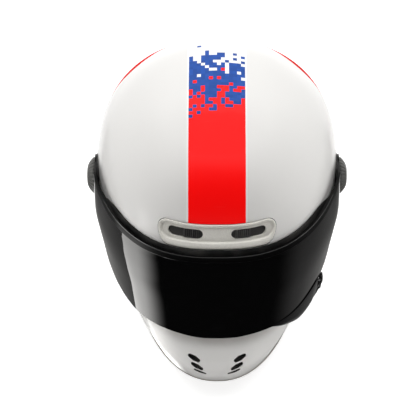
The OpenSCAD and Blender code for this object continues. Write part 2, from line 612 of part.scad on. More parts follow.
// Slider of the left window: a plate under the frame, and a ribbed grip in the window
module vent_slider() {
    from = track_angle(window_in + 1.5);
    to = track_angle(window_in + window_l - 1);
    grip_from = track_angle(window_in + 5);
    grip_to = track_angle(window_in + 19);
    ribs = 7;
    rib_step = (grip_to - grip_from) / ribs;
    function at(b, off) = [track_r + off * cos(vent_tilt) - b * sin(vent_tilt),
        track_p[1][2] + off * sin(vent_tilt) + b * cos(vent_tilt)];
    module arc(a0, a1, b, low, high) {
        translate([track_c[0], track_c[1], 0]) rotate([0, 0, a0]) rotate_extrude(angle = a1 - a0, $fn = 360)
            polygon([at(-b, low), at(b, low), at(b, high), at(-b, high)]);
    }
    plate_top = frame_under - 1.5 * running;
    color([0.25, 0.25, 0.25]) {
        arc(from, to, window_h / 2 + 1.5, plate_top - slider_t, plate_top);
        arc(grip_from, grip_to, window_h / 2 - 0.6, plate_top - 0.5, vent_floor - 0.6);
        for (k = [0:ribs - 1], rib_from = grip_from + (k + 0.25) * rib_step)
            arc(rib_from, rib_from + 0.5 * rib_step, window_h / 2 - 0.9, vent_floor - 1, vent_floor + 0.5);
    }
}
module vent_slider_left() { vent_slider(); }
module vent_slider_right() { mirror([1, 0, 0]) vent_slider(); }

// Perforated plate behind the wearer's left chin slots
module chin_grille() {
    xs = [for (k = [0:9]) 8 + k * 3.3];
    ts = [for (k = [0:7]) lerp(t_at(slot_z - 2 * slot_pitch - 2), t_at(slot_z + slot_w + 5), k / 7)];
    function sheet(off) = [for (x = xs) [for (t = ts) skin(t, u_at(t, x), off)]];
    color("gray") between(sheet(-shell_t - 1.6), sheet(-shell_t - 2.8),
        function(j, i) j % 2 == 0 || i % 2 == 0);
}
module chin_grille_left() { chin_grille(); }
module chin_grille_right() { mirror([1, 0, 0]) chin_grille(); }

// Soft flap inside the chin that turns the breath down
module breath_guard() {
    us = [for (u = [-40:8:40]) u];
    function rise(u) = lerp(0.045, 0.012, smooth((abs(u) - 12) / 28));
    ts = function(u) concat([for (k = [3:6]) chin_ts[k]], [port_low + rise(u)]);
    function sheet(depth) = [for (u = us) [for (t = ts(u)) inward(t, u, depth)]];
    color("black") between(sheet(chin_depth + 0.4), sheet(chin_depth + 2.4), everywhere);
}

// Cloth across the chin opening, from the trim inwards
module chin_curtain() {
    us = [for (u = [-44:8:44]) u];
    depth = 40;
    function at(u, k, up) = let (p = skin(0.02, u, -shell_t - fit - trim_t - running))
        [p[0] * (1 - 0.2 * k), p[1] + depth * sqrt(cos(2 * u)) * k, p[2] + 2 * k + up];
    function sheet(up) = [for (u = us) [for (k = [0:3]) at(u, k / 3, up)]];
    color("black") between(sheet(1.4), sheet(0), everywhere);
}

// Visor latch at the wearer's left lower corner
latch_u = 54;
latch_t = visor_low - 0.031;
latch_off = visor_gap + 3.4;
barrel_r = latch_pin_r + 1.6;
module at_latch() {
    on_skin(latch_t, latch_u, latch_off + bulge(latch_u, 0)) children();
}
module latch_housing() {
    us = [for (k = [0:5]) latch_u - 20 + 3.2 * k];
    ts = concat([latch_t - 0.025, latch_t - 0.01],
        [for (past = [-0.004, -0.001, 0.012, 0.02]) visor_low + past]);
    function under(j, i) = bulge(us[j], 0) + (i < 3 ? visor_gap : visor_gap + visor_t + running);
    function over(j, i) = bulge(us[j], 0) + visor_gap + visor_t + 0.9
        + latch_h * swell(lerp(0.04, 0.96, j / 5)) * swell(lerp(0.05, 0.95, i / 5));
    color("black") {
        between([for (j = [0:5]) [for (i = [0:5]) skin(ts[i], us[j], over(j, i))]],
            [for (j = [0:5]) [for (i = [0:5]) skin(ts[i], us[j], under(j, i))]], everywhere);
        at_latch() for (s = [-1, 1]) difference() {
            union() {
                translate([0, s * 5, 0]) rotate([90, 0, 0]) cylinder(r = barrel_r, h = 2.4, center = true);
                translate([-10, s * 5 - 1.2, -1.6]) cube([10, 2.4, 3.2]);
            }
            translate([0, s * 5, 0]) rotate([90, 0, 0])
                cylinder(r = latch_pin_r + shaft_fit, h = 4, center = true);
        }
    }
}
module latch_pin() {
    color("silver") at_latch() rotate([90, 0, 0]) cylinder(r = latch_pin_r, h = 12.4, center = true);
}
module latch_lever() {
    color("black") at_latch() difference() {
        union() {
            rotate([90, 0, 0]) cylinder(r = barrel_r, h = 7, center = true);
            translate([1, -3.5, -1]) cube([4, 7, 2]);
            translate([4.6, -7, -1]) rotate([0, -50, 0]) cube([lever_l, 14, 2]);
        }
        rotate([90, 0, 0]) cylinder(r = latch_pin_r + shaft_fit, h = 10, center = true);
    }
}
module latch_catch() {
    function sheet(off) =
        [for (u = [latch_u - 15, latch_u - 12, latch_u - 9])
            [for (k = [0:2]) skin(latch_t - 0.022 + 0.011 * k, u, off)]];
    color("dimgray") between(sheet(1.8), sheet(running), everywhere);
}

// Curve of the webbing in the X-Z plane, and the strip of webbing along a path
function bezier(p, n) = [for (k = [0:n]) let (s = k / n, r = 1 - s)
    r * r * r * p[0] + 3 * r * r * s * p[1] + 3 * r * s * s * p[2] + s * s * s * p[3]];
function turned(v) = [-v[1], v[0]];
function edge_of(path, side) = [for (i = [0:len(path) - 1])
    path[i] + side * strap_t / 2 * turned(unit(path[min(i + 1, len(path) - 1)] - path[max(i - 1, 0)]))];
module webbing(path) {
    right = edge_of(path, -1);
    translate([0, strap_y + strap_w / 2, 0]) rotate([90, 0, 0]) linear_extrude(strap_w)
        polygon(concat(edge_of(path, 1), [for (i = [len(right) - 1:-1:0]) right[i]]));
}
strap_y = shell_point(rivet_t, 90)[1];
strap_off = -shell_t - strap_t / 2 - 1.5;
function strap_high(t) = let (p = skin(t, 90, strap_off)) [p[0], p[2]];
floor_gap = 0.45;
strap_lie_z = floor_gap + strap_t / 2;
drop_x = skin(0, 90, -shell_t - fit - trim_t)[0] - 6.5;
strap_drop = concat([strap_high(rivet_t + 0.03), strap_high(rivet_t - 0.02)],
    bezier([[strap_high(0.05)[0] - 2, 26], [drop_x, 14], [drop_x, strap_lie_z],
        [0.75 * drop_x, strap_lie_z]], 7));
ring_x = 16;
ring_low_z = floor_gap + strap_t + ring_wire_r + 0.15;
ring_high_z = ring_low_z + 2 * ring_wire_r + 0.2;
module ring_eye(r) {
    for (z = [ring_low_z, ring_high_z]) translate([ring_x, z]) circle(r);
    translate([ring_x - r, ring_low_z]) square([2 * r, ring_high_z - ring_low_z]);
}
module strap_rivet_hole() {
    at_rivet() translate([0, 0, -12]) cylinder(r = rivet_r + fit, h = 12);
}
module strap_left() {
    color("black") difference() {
        union() {
            webbing(concat(strap_drop, [[drop_x / 2, strap_lie_z], [ring_x + 2.5, strap_lie_z]]));
            translate([0, strap_y + strap_w / 2, 0]) rotate([90, 0, 0]) linear_extrude(strap_w)
                ring_eye(ring_wire_r + 0.15 + strap_t);
        }
        translate([0, strap_y + strap_w / 2 + 1, 0]) rotate([90, 0, 0]) linear_extrude(strap_w + 2)
            ring_eye(ring_wire_r + shaft_fit);
        strap_rivet_hole();
    }
}
fold_r = 3.4;
module strap_right() {
    upper_z = strap_lie_z + 2 * fold_r;
    fold = [for (a = [0:30:180]) [0.35 * drop_x - fold_r * sin(a), strap_lie_z + fold_r - fold_r * cos(a)]];
    color("black") mirror([1, 0, 0]) difference() {
        webbing(concat(strap_drop, [[drop_x / 2, strap_lie_z]], fold,
            [[0.62 * drop_x, upper_z + 0.6], [0.82 * drop_x, upper_z + 2.4]]));
        strap_rivet_hole();
    }
}
module strap_rivets() {
    inner = strap_off - strap_t / 2 - running;
    color("silver") both_sides() at_rivet() {
        translate([0, 0, inner - 1]) cylinder(r = rivet_r, h = 2.4 - inner);
        translate([0, 0, inner - 1.4]) cylinder(r = 2 * rivet_r, h = 1.4);
        translate([0, 0, 0.8]) cylinder(r = 2 * rivet_r, h = 0.8);
        translate([0, 0, 1.6]) cylinder(r1 = 2 * rivet_r, r2 = 1.2 * rivet_r, h = 0.9);
    }
}

// Two D-shaped rings whose straight sides lie in the eye of the left strap
module d_ring(z) {
    color("silver") translate([ring_x, strap_y, z]) {
        rotate([90, 0, 0]) cylinder(r = ring_wire_r, h = 2 * (ring_r + ring_wire_r + 0.1), center = true);
        rotate([0, 0, 90]) rotate_extrude(angle = 180) translate([ring_r, 0]) circle(ring_wire_r - 0.05);
    }
}
module ring_lower() { d_ring(ring_low_z); }
module ring_upper() { d_ring(ring_high_z); }

// Covers over the outlets at the rear of the shell
module exhaust_cover() {
    us = [exhaust_u - 9, exhaust_u - 6, exhaust_u, exhaust_u + 6, exhaust_u + 9];
    ts = [exhaust_t - 0.035, exhaust_t - 0.02, exhaust_t + 0.01, exhaust_t + 0.04];
    color("black") between(
        [for (j = [0:4]) [for (i = [0:3])
            skin(ts[i], us[j], 1 + 4 * swell(j / 4) * swell(lerp(0.25, 1, i / 3)))]],
        [for (u = us) [for (t = ts) skin(t, u, running)]], everywhere);
}
module exhaust_cover_left() { exhaust_cover(); }
module exhaust_cover_right() { mirror([1, 0, 0]) exhaust_cover(); }

shell();
eps_liner();
chin_eps();
crown_pad();
cheek_pad_left();
cheek_pad_right();
neck_roll();
edge_trim();
eyeport_gasket();
visor();
pivot_base_left();
pivot_base_right();
base_screws();
hub_cover_left();
hub_cover_right();
hub_screws();
vent_frame();
vent_duct();
vent_slider_left();
vent_slider_right();
chin_grille_left();
chin_grille_right();
breath_guard();
chin_curtain();
latch_housing();
latch_pin();
latch_lever();
latch_catch();
strap_left();
strap_right();
strap_rivets();
ring_lower();
ring_upper();
exhaust_cover_left();
exhaust_cover_right();
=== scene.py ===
import logging
import math
from collections.abc import Callable, Iterable, Sequence
from dataclasses import dataclass, field
from enum import Enum

import bmesh
import bpy
import numpy as np
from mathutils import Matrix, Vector
from mathutils.bvhtree import BVHTree


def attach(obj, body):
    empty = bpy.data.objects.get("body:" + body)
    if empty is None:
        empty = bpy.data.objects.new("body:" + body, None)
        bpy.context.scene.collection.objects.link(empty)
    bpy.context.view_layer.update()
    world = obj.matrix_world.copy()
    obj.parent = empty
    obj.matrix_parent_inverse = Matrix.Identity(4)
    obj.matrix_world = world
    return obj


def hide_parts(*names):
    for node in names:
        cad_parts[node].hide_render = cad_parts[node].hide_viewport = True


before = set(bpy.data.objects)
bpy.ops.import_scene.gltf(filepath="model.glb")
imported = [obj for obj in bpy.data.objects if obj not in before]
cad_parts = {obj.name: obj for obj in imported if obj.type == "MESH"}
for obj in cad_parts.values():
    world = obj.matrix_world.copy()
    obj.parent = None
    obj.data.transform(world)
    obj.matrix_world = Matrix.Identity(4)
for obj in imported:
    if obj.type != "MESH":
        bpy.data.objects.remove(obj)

LOG = logging.getLogger("helmet")
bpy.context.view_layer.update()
MM = 0.001
FIT = 0.2
PIVOT_Y, PIVOT_Z = 8.0, 150.0
UP = np.array([0.0, 0.0, 1.0])
MIRROR = np.array([-1.0, 1.0, 1.0])
OUT_OF_LEFT = np.array([[0.0, 0.0, 1.0], [0.0, 1.0, 0.0], [-1.0, 0.0, 0.0]])
Z_ALONG_Y = np.array([[1.0, 0.0, 0.0], [0.0, 0.0, 1.0], [0.0, -1.0, 0.0]])
Points = np.ndarray
Colour = tuple[float, float, float]
Rows = tuple[tuple[float, float, float], ...]
Section = Sequence[tuple[float, float]]


class Side(Enum):
    """The side of the wearer, as the sign of X."""

    LEFT = 1
    RIGHT = -1

    @property
    def label(self) -> str:
        """The side's name, as the nodes have it."""
        return self.name.lower()


class Layer(Enum):
    """The parts of a closed sheet, as material numbers."""

    OUTER = 0
    INNER = 1
    RIM = 2


def lerp(a: Points, b: Points, k: Points) -> Points:
    """Value k of the way from a to b."""
    return a + (b - a) * k


def smooth(k: Points) -> Points:
    """Smooth step of k between 0 and 1."""
    k = np.clip(k, 0.0, 1.0)
    return k * k * (3.0 - 2.0 * k)


def swell(k: Points) -> Points:
    """Rounded swelling, 0 at k = 0 and 1, with steep shoulders."""
    return np.sin(np.pi * np.clip(k, 0.001, 0.999)) ** 0.6


def ridge(k: Points, place: float, width: float) -> Points:
    """Bell curve of k about a place."""
    return np.exp(-(((k - place) / width) ** 2))


def xyz(x: Points, y: Points, z: Points) -> Points:
    """Points from their coordinates, which are spread to one shape."""
    return np.stack(np.broadcast_arrays(x, y, z), -1)


def down(low: float, high: float, count: int) -> Points:
    """Even values as one column, which stands for the places along a sheet."""
    return np.linspace(low, high, count)[:, None]


def across(low: float, high: float, count: int) -> Points:
    """Even values as one row, which stands for the places up a sheet."""
    return np.linspace(low, high, count)[None, :]


def circle(count: int) -> Points:
    """Even angles of a full turn."""
    return np.linspace(0, 2 * np.pi, count, endpoint=False)


def spread(*stops: float, step: float) -> Points:
    """Values from the first stop to the last that pass through every stop.

    Args:
        stops: rising values that are all kept.
        step: the widest gap left between two values.

    Returns:
        The values as one array.
    """
    rows = [np.linspace(a, b, max(1, math.ceil((b - a) / step)), endpoint=False) for a, b in zip(stops, stops[1:])]
    return np.concatenate([*rows, stops[-1:]])


@dataclass(frozen=True)
class Profile:
    """An upright curve of the shell: rows of share of the way up, reach and height."""

    rows: Rows

    def at(self, t: Points) -> tuple[Points, Points]:
        """Reach and height of the curve.

        Args:
            t: share of the way up, 0 to 1.

        Returns:
            The reach and the height, as shares of the shell's sizes.
        """
        table = np.asarray(self.rows)
        knots = table[:, 0]
        i = np.clip(np.searchsorted(knots, t, side="right") - 1, 1, len(knots) - 3)
        h = knots[i + 1] - knots[i]
        x = (t - knots[i]) / h
        slopes = (table[2:, 1:] - table[:-2, 1:]) / (table[2:, :1] - table[:-2, :1])
        x, h = x[..., None], h[..., None]
        curve = ((2 * x**3 - 3 * x**2 + 1) * table[i, 1:] + (x**3 - 2 * x**2 + x) * h * slopes[i - 1]
                 + (3 * x**2 - 2 * x**3) * table[i + 1, 1:] + (x**3 - x**2) * h * slopes[i])
        return curve[..., 0], curve[..., 1]


def profile(rows: Rows, over: Rows, sign: float) -> Profile:
    """A profile with one more row at each end, which gives it a slope there.

    Args:
        rows: the profile's own rows.
        over: the rows of the profile that it meets over the apex.
        sign: the sign of the reach beyond the apex.

    Returns:
        The profile.
    """
    first, second, past = rows[0], rows[1], over[-2]
    before = tuple(2 * a - b for a, b in zip(first, second))
    return Profile((before, *rows, (2 - past[0], sign * past[1], past[2])))


FRONT = ((0, -0.426, 0), (0.06, -0.473, 0.068), (0.14, -0.5, 0.175), (0.185, -0.477, 0.223), (0.25, -0.436, 0.307),
         (0.4, -0.387, 0.515), (0.53, -0.345, 0.693), (0.68, -0.242, 0.864), (0.8, -0.128, 0.952), (1, 0.083, 1))
REAR = ((0, 0.357, 0), (0.1, 0.406, 0.135), (0.24, 0.471, 0.335), (0.39, 0.5, 0.534), (0.53, 0.474, 0.729),
        (0.68, 0.376, 0.892), (0.82, 0.266, 0.976), (1, 0.083, 1))
FLANK = ((0, 0.752, 0), (0.09, 0.778, 0.143), (0.2, 0.889, 0.287), (0.33, 0.957, 0.446), (0.45, 1, 0.602),
         (0.61, 0.901, 0.797), (0.8, 0.5, 0.954), (1, 0, 1))


@dataclass(frozen=True)
class ShellForm:
    """The outer form of the helmet, in millimetres, that every other piece is set out from.

    A place on it has a share t of the way up and an angle u from the front, which grows to the wearer's left. Its
    level sections are superellipses, whose exponents are given at the shares in knots.
    """

    length: float = 336.0
    width: float = 247.6
    height: float = 251.0
    wall: float = 4.0
    edge_z: float = 4.0
    edge_arch: float = 8.0
    edge_flat: float = 0.12
    middle: tuple[float, float] = (0.0536, 0.0834)
    front: Profile = profile(FRONT, REAR, 1)
    rear: Profile = profile(REAR, FRONT, 1)
    flank: Profile = profile(FLANK, FLANK, -1)
    knots: tuple[float, ...] = (0.0, 0.5, 0.75, 1.0)
    nose: tuple[float, ...] = (2.2, 2.7, 2.35, 2.0)
    cheek: tuple[float, ...] = (1.57, 1.94, 1.97, 2.0)
    back: tuple[float, ...] = (2.24, 2.24, 2.24, 2.0)

    def point(self, t: Points, u: Points) -> Points:
        """Point of the form.

        Args:
            t: share of the way up.
            u: angle in degrees.

        Returns:
            The place in millimetres, with the coordinates last.
        """
        t, u = np.broadcast_arrays(np.asarray(t, float), np.asarray(u, float))
        c, s = np.cos(np.radians(u)), np.sin(np.radians(u))
        front, rear, side = self.front.at(t), self.rear.at(t), self.flank.at(t)
        ahead = c >= 0
        reach, rise = np.where(ahead, front[0], rear[0]), np.where(ahead, front[1], rear[1])
        nose, cheek, back = (np.interp(t, self.knots, power) for power in (self.nose, self.cheek, self.back))
        side_z = side[1] * self.height + self.edge_arch * (1 - np.clip(6 * t, 0, 1))
        quarter = np.clip(4 * t, 0, 1)
        flat = self.edge_flat * (1 - quarter)
        arch = np.clip((s * s - flat) / (1 - flat), 0, 1) ** (2 - quarter)
        x = np.sign(s) * side[0] * self.width / 2 * np.abs(s) ** (2 / np.where(ahead, nose, back))
        y = lerp(lerp(*self.middle, t), reach, np.abs(c) ** (2 / np.where(ahead, cheek, back))) * self.length
        return xyz(x, y, self.edge_z + lerp(rise * self.height, side_z, arch))

    def normal(self, t: Points, u: Points) -> Points:
        """Outward direction at a place of the form."""
        t, u = np.broadcast_arrays(np.asarray(t, float), np.asarray(u, float))
        low, high = np.maximum(t - 0.001, 0), np.minimum(t + 0.001, 1)
        n = np.cross(self.point(t, u + 0.3) - self.point(t, u - 0.3), self.point(high, u) - self.point(low, u))
        n = np.where((t > 0.998)[..., None], UP, n)
        return n / np.maximum(np.linalg.norm(n, axis=-1, keepdims=True), 1e-9)

    def skin(self, t: Points, u: Points, off: Points = 0.0) -> Points:
        """Point that lies off the form by a distance in millimetres."""
        return self.point(t, u) + np.asarray(off, float)[..., None] * self.normal(t, u)

    def inward(self, t: Points, u: Points, depth: float) -> Points:
        """Point of the form moved level inwards by a depth."""
        n = self.normal(t, u) * (1 - UP)
        return self.point(t, u) - depth * n / np.linalg.norm(n, axis=-1, keepdims=True)

    def angle_at(self, t: Points, x: Points) -> Points:
        """The angle u at which the level section t is x wide."""
        t, x = np.broadcast_arrays(np.asarray(t, float), np.asarray(x, float))
        half = self.flank.at(t)[0] * self.width / 2
        power = np.interp(t, self.knots, self.nose) / 2
        return np.sign(x) * np.degrees(np.arcsin(np.clip(np.abs(x) / half, 0, 1) ** power))

    def share_at(self, z: float) -> float:
        """The share t at which the front is z millimetres high."""
        low, high = 0.0, 1.0
        for _ in range(24):
            middle = (low + high) / 2
            rise = float(self.front.at(np.array(middle))[1])
            low, high = (middle, high) if self.edge_z + rise * self.height < z else (low, middle)
        return (low + high) / 2

    def cross_frame(self, t: float, u: float, off: float = 0.0) -> tuple[Points, Points]:
        """Axes and origin at a place of the form.

        Args:
            t: share of the way up.
            u: angle in degrees.
            off: distance off the form.

        Returns:
            The matrix whose columns run to the wearer's left, up the form and outwards, and the origin.
        """
        n = self.normal(t, u)
        e = self.point(t, u + 0.5) - self.point(t, u - 0.5)
        up = np.cross(n, e / np.linalg.norm(e))
        up /= np.linalg.norm(up)
        return np.stack([np.cross(up, n), up, n], -1), self.skin(t, u, off)


SHELL = ShellForm()


@dataclass
class Form:
    """Points in millimetres, faces, and the layer of each face."""

    points: list[Points] = field(default_factory=list)
    faces: list[tuple[int, ...]] = field(default_factory=list)
    layers: list[int] = field(default_factory=list)

    def add(self, other: "Form") -> "Form":
        """This form with another's points and faces added to it."""
        start = len(self.points)
        self.points += list(other.points)
        self.faces += [tuple(i + start for i in f) for f in other.faces]
        self.layers += list(other.layers)
        return self

    def mirrored(self) -> "Form":
        """The form mirrored to the wearer's other side."""
        return Form([p * MIRROR for p in self.points], [tuple(reversed(f)) for f in self.faces], list(self.layers))

    def on(self, side: Side) -> "Form":
        """The form, made for the wearer's left, on the side that is asked for."""
        return self if side is Side.LEFT else self.mirrored()

    def placed(self, axes: Points, origin: Points) -> "Form":
        """The form turned by a matrix and moved to an origin."""
        return Form([axes @ p + origin for p in self.points], list(self.faces), list(self.layers))

    def at_pivot(self, x: float) -> "Form":
        """The form, whose Z then points out of the wearer's left side, at the visor's pivot."""
        return self.placed(OUT_OF_LEFT, np.array([x, PIVOT_Y, PIVOT_Z]))

    def tidy(self) -> "Form":
        """The form without the points that no face uses."""
        used = sorted({i for f in self.faces for i in f})
        new = {old: k for k, old in enumerate(used)}
        return Form([self.points[i] for i in used], [tuple(new[i] for i in f) for f in self.faces], self.layers)


Keep = Callable[[int, int], bool]


def closed_sheet(outer: Points, inner: Points, keep: Keep | None = None, wrap: bool = False,
                 apex: bool = False) -> Form:
    """Closed form between two sheets of points.

    Args:
        outer: points of the outer sheet, by column, which run to the wearer's left, and row, which run up.
        inner: points of the inner sheet.
        keep: says whether the cell of a column and row is there; without it, all are.
        wrap: whether the last column meets the first.
        apex: whether the last row is one point.

    Returns:
        The form.
    """
    columns, rows = outer.shape[:2]
    spans = columns if wrap else columns - 1
    form = Form([*outer.reshape(-1, 3), *inner.reshape(-1, 3)])

    def number(layer: Layer, j: int, i: int) -> int:
        return layer.value * columns * rows + (0 if apex and i == rows - 1 else j % columns) * rows + i

    def there(j: int, i: int) -> bool:
        if i > rows - 2:
            return apex
        if i < 0 or (not wrap and not 0 <= j < spans):
            return False
        return keep is None or keep(j % columns, i)

    def face(layer: Layer, *corners: int) -> None:
        ring = tuple(dict.fromkeys(corners))
        if len(ring) > 2:
            form.faces.append(ring)
            form.layers.append(layer.value)

    for j in range(spans):
        for i in range(rows - 1):
            if not there(j, i):
                continue
            o, n = ([number(layer, *cell) for cell in ((j, i), (j + 1, i), (j + 1, i + 1), (j, i + 1))]
                    for layer in (Layer.OUTER, Layer.INNER))
            face(Layer.OUTER, *o)
            face(Layer.INNER, *reversed(n))
            for a, beside in enumerate(((j, i - 1), (j + 1, i), (j, i + 1), (j - 1, i))):
                if not there(*beside):
                    b = (a + 1) % 4
                    face(Layer.RIM, o[a], n[a], n[b], o[b])
    return form.tidy()


def ring_tube(rings: Points, wrap: bool = False) -> Form:
    """Closed form through rings of points.

    Args:
        rings: the points, by ring and place on the ring; each ring is closed.
        wrap: whether the last ring meets the first; without it both ends are capped.

    Returns:
        The form.
    """
    n, m = rings.shape[:2]
    faces = [(j * m + k, (j + 1) % n * m + k, (j + 1) % n * m + (k + 1) % m, j * m + (k + 1) % m)
             for j in range(n if wrap else n - 1) for k in range(m)]
    if not wrap:
        faces += [tuple(range(m)), tuple(reversed(range((n - 1) * m, n * m)))]
    return Form(list(rings.reshape(-1, 3)), faces, [Layer.OUTER.value] * len(faces))


def slot_tube(rings: Points) -> Form:
    """Closed form through rings of a slot's outline, whose ends are closed by strips across the slot.

    Args:
        rings: the points, by ring and place on the outline, as VentPlace.outline gives them.

    Returns:
        The form.
    """
    n, m = rings.shape[:2]
    tube = ring_tube(rings)
    faces = tube.faces[:-2]
    start = m // 8
    upper = [(start + k) % m for k in range(m // 2 + 1)]
    lower = [(start - k) % m for k in range(m // 2 + 1)]
    for first, turned in ((0, False), ((n - 1) * m, True)):
        for strip in zip(lower, lower[1:], upper[1:], upper):
            corners = tuple(dict.fromkeys(first + k for k in strip))
            faces.append(corners if turned else tuple(reversed(corners)))
    return Form(tube.points, faces, [Layer.OUTER.value] * len(faces))


def turned(section: Section, around: int, wrap: bool = False,
           radius: Callable[[Points, float], Points] | None = None) -> Form:
    """Form turned about Z.

    Args:
        section: pairs of radius and height, one after the other.
        around: number of steps of the turn.
        wrap: whether the section is closed; without it, flat caps close its ends.
        radius: changes a radius by the angle and the height.

    Returns:
        The form.
    """
    angles = circle(around)
    rings = [xyz(reach * np.cos(angles), reach * np.sin(angles), z)
             for z, reach in ((float(z), r * (1.0 if radius is None else radius(angles, z))) for r, z in section)]
    return ring_tube(np.stack(rings), wrap)


def prism(outline: Points, low: float, high: float) -> Form:
    """Form raised along Z over a flat outline, from low to high."""
    form = ring_tube(np.stack([xyz(outline[:, 0], outline[:, 1], z) for z in (low, high)]))
    return Form(form.points, [tuple(reversed(f)) for f in form.faces], form.layers)


def mesh_of(name: str, form: Form) -> bpy.types.Mesh:
    """Blender mesh of a form, in metres, with its layers as material numbers and its faces turned outwards."""
    mesh = bpy.data.meshes.new(name)
    mesh.from_pydata([tuple(p * MM) for p in form.points], [], form.faces)
    mesh.polygons.foreach_set("material_index", form.layers)
    work = bmesh.new()
    work.from_mesh(mesh)
    bmesh.ops.recalc_face_normals(work, faces=work.faces)
    work.to_mesh(mesh)
    work.free()
    return mesh


def linked(name: str, data: bpy.types.ID, materials: Iterable[bpy.types.Material] = ()) -> bpy.types.Object:
    """Object of some data, in the scene.

    Args:
        name: the object's name.
        data: its mesh, lamp or camera.
        materials: the materials that its mesh takes.

    Returns:
        The object.
    """
    obj = bpy.data.objects.new(name, data)
    for material in materials:
        data.materials.append(material)
    bpy.context.scene.collection.objects.link(obj)
    return obj


def settle(obj: bpy.types.Object) -> None:
    """Applies an object's modifiers to its mesh."""
    graph = bpy.context.evaluated_depsgraph_get()
    mesh = bpy.data.meshes.new_from_object(obj.evaluated_get(graph), depsgraph=graph)
    obj.modifiers.clear()
    obj.data = mesh


def carve(obj: bpy.types.Object, cutters: Iterable[Form], reach: float = 0.05, agree: float = 0.9) -> None:
    """Cuts forms out of an object, which keeps its materials and the smooth shading of its old skin.

    Args:
        obj: the object.
        cutters: closed forms in millimetres.
        reach: the distance in millimetres within which a point is still on the old skin.
        agree: cosine between the face's direction and the old one above which it belongs to the skin.
    """
    source = obj.data.copy()
    helpers = []
    for k, form in enumerate(cutters):
        cutter = linked(f"cutter_{k}", mesh_of("cutter", form), obj.data.materials)
        for polygon in cutter.data.polygons:
            polygon.material_index = Layer.RIM.value
        helpers.append(cutter)
        cut = obj.modifiers.new("cut", "BOOLEAN")
        cut.operation, cut.solver, cut.object = "DIFFERENCE", "EXACT", cutter
        cut.material_mode = "INDEX"
    settle(obj)
    for cutter in helpers:
        bpy.data.objects.remove(cutter)
    take_shading(obj.data, source, reach, agree)


def take_shading(mesh: bpy.types.Mesh, source: bpy.types.Mesh, reach: float, agree: float) -> None:
    """Gives a carved mesh the smooth shading that it had before it was carved; see carve for the limits."""
    tree = BVHTree.FromPolygons([v.co for v in source.vertices], [p.vertices for p in source.polygons])
    skins = [v.normal.copy() for v in source.vertices]
    loops: list[Vector] = []
    for polygon in mesh.polygons:
        for loop in polygon.loop_indices:
            co = mesh.vertices[mesh.loops[loop].vertex_index].co
            _, _, index, distance = tree.find_nearest(co)
            normal = polygon.normal
            if distance is not None and distance < reach * MM:
                corners = source.polygons[index].vertices
                weights = [1 / ((source.vertices[i].co - co).length + 1e-6) for i in corners]
                mixed = sum((skins[i] * w for i, w in zip(corners, weights)), Vector()).normalized()
                if mixed.dot(polygon.normal) > agree:
                    normal = mixed
            loops.append(normal.copy())
    mesh.shade_smooth()
    mesh.normals_split_custom_set(loops)


@dataclass(frozen=True, eq=False)
class Wire:
    """A socket of a shader graph, on which arithmetic writes Math nodes."""

    graph: "Graph"
    socket: bpy.types.NodeSocket

    def __add__(self, other: "Source") -> "Wire":
        """Sum."""
        return self.graph.math("ADD", self, other)

    def __sub__(self, other: "Source") -> "Wire":
        """Difference."""
        return self.graph.math("SUBTRACT", self, other)

    def __rsub__(self, other: "Source") -> "Wire":
        """Difference from a number."""
        return self.graph.math("SUBTRACT", other, self)

    def __mul__(self, other: "Source") -> "Wire":
        """Product."""
        return self.graph.math("MULTIPLY", self, other)

    def __truediv__(self, other: "Source") -> "Wire":
        """Quotient."""
        return self.graph.math("DIVIDE", self, other)

    def __rtruediv__(self, other: "Source") -> "Wire":
        """A number divided by it."""
        return self.graph.math("DIVIDE", other, self)

    def __gt__(self, other: "Source") -> "Wire":
        """1 where it is greater, else 0."""
        return self.graph.math("GREATER_THAN", self, other)

    def __lt__(self, other: "Source") -> "Wire":
        """1 where it is less, else 0."""
        return self.graph.math("LESS_THAN", self, other)

    def __abs__(self) -> "Wire":
        """Absolute value."""
        return self.graph.math("ABSOLUTE", self)

    def __floor__(self) -> "Wire":
        """Whole part."""
        return self.graph.math("FLOOR", self)


Source = Wire | float | tuple[float, ...]
Wires = dict[str, Wire]


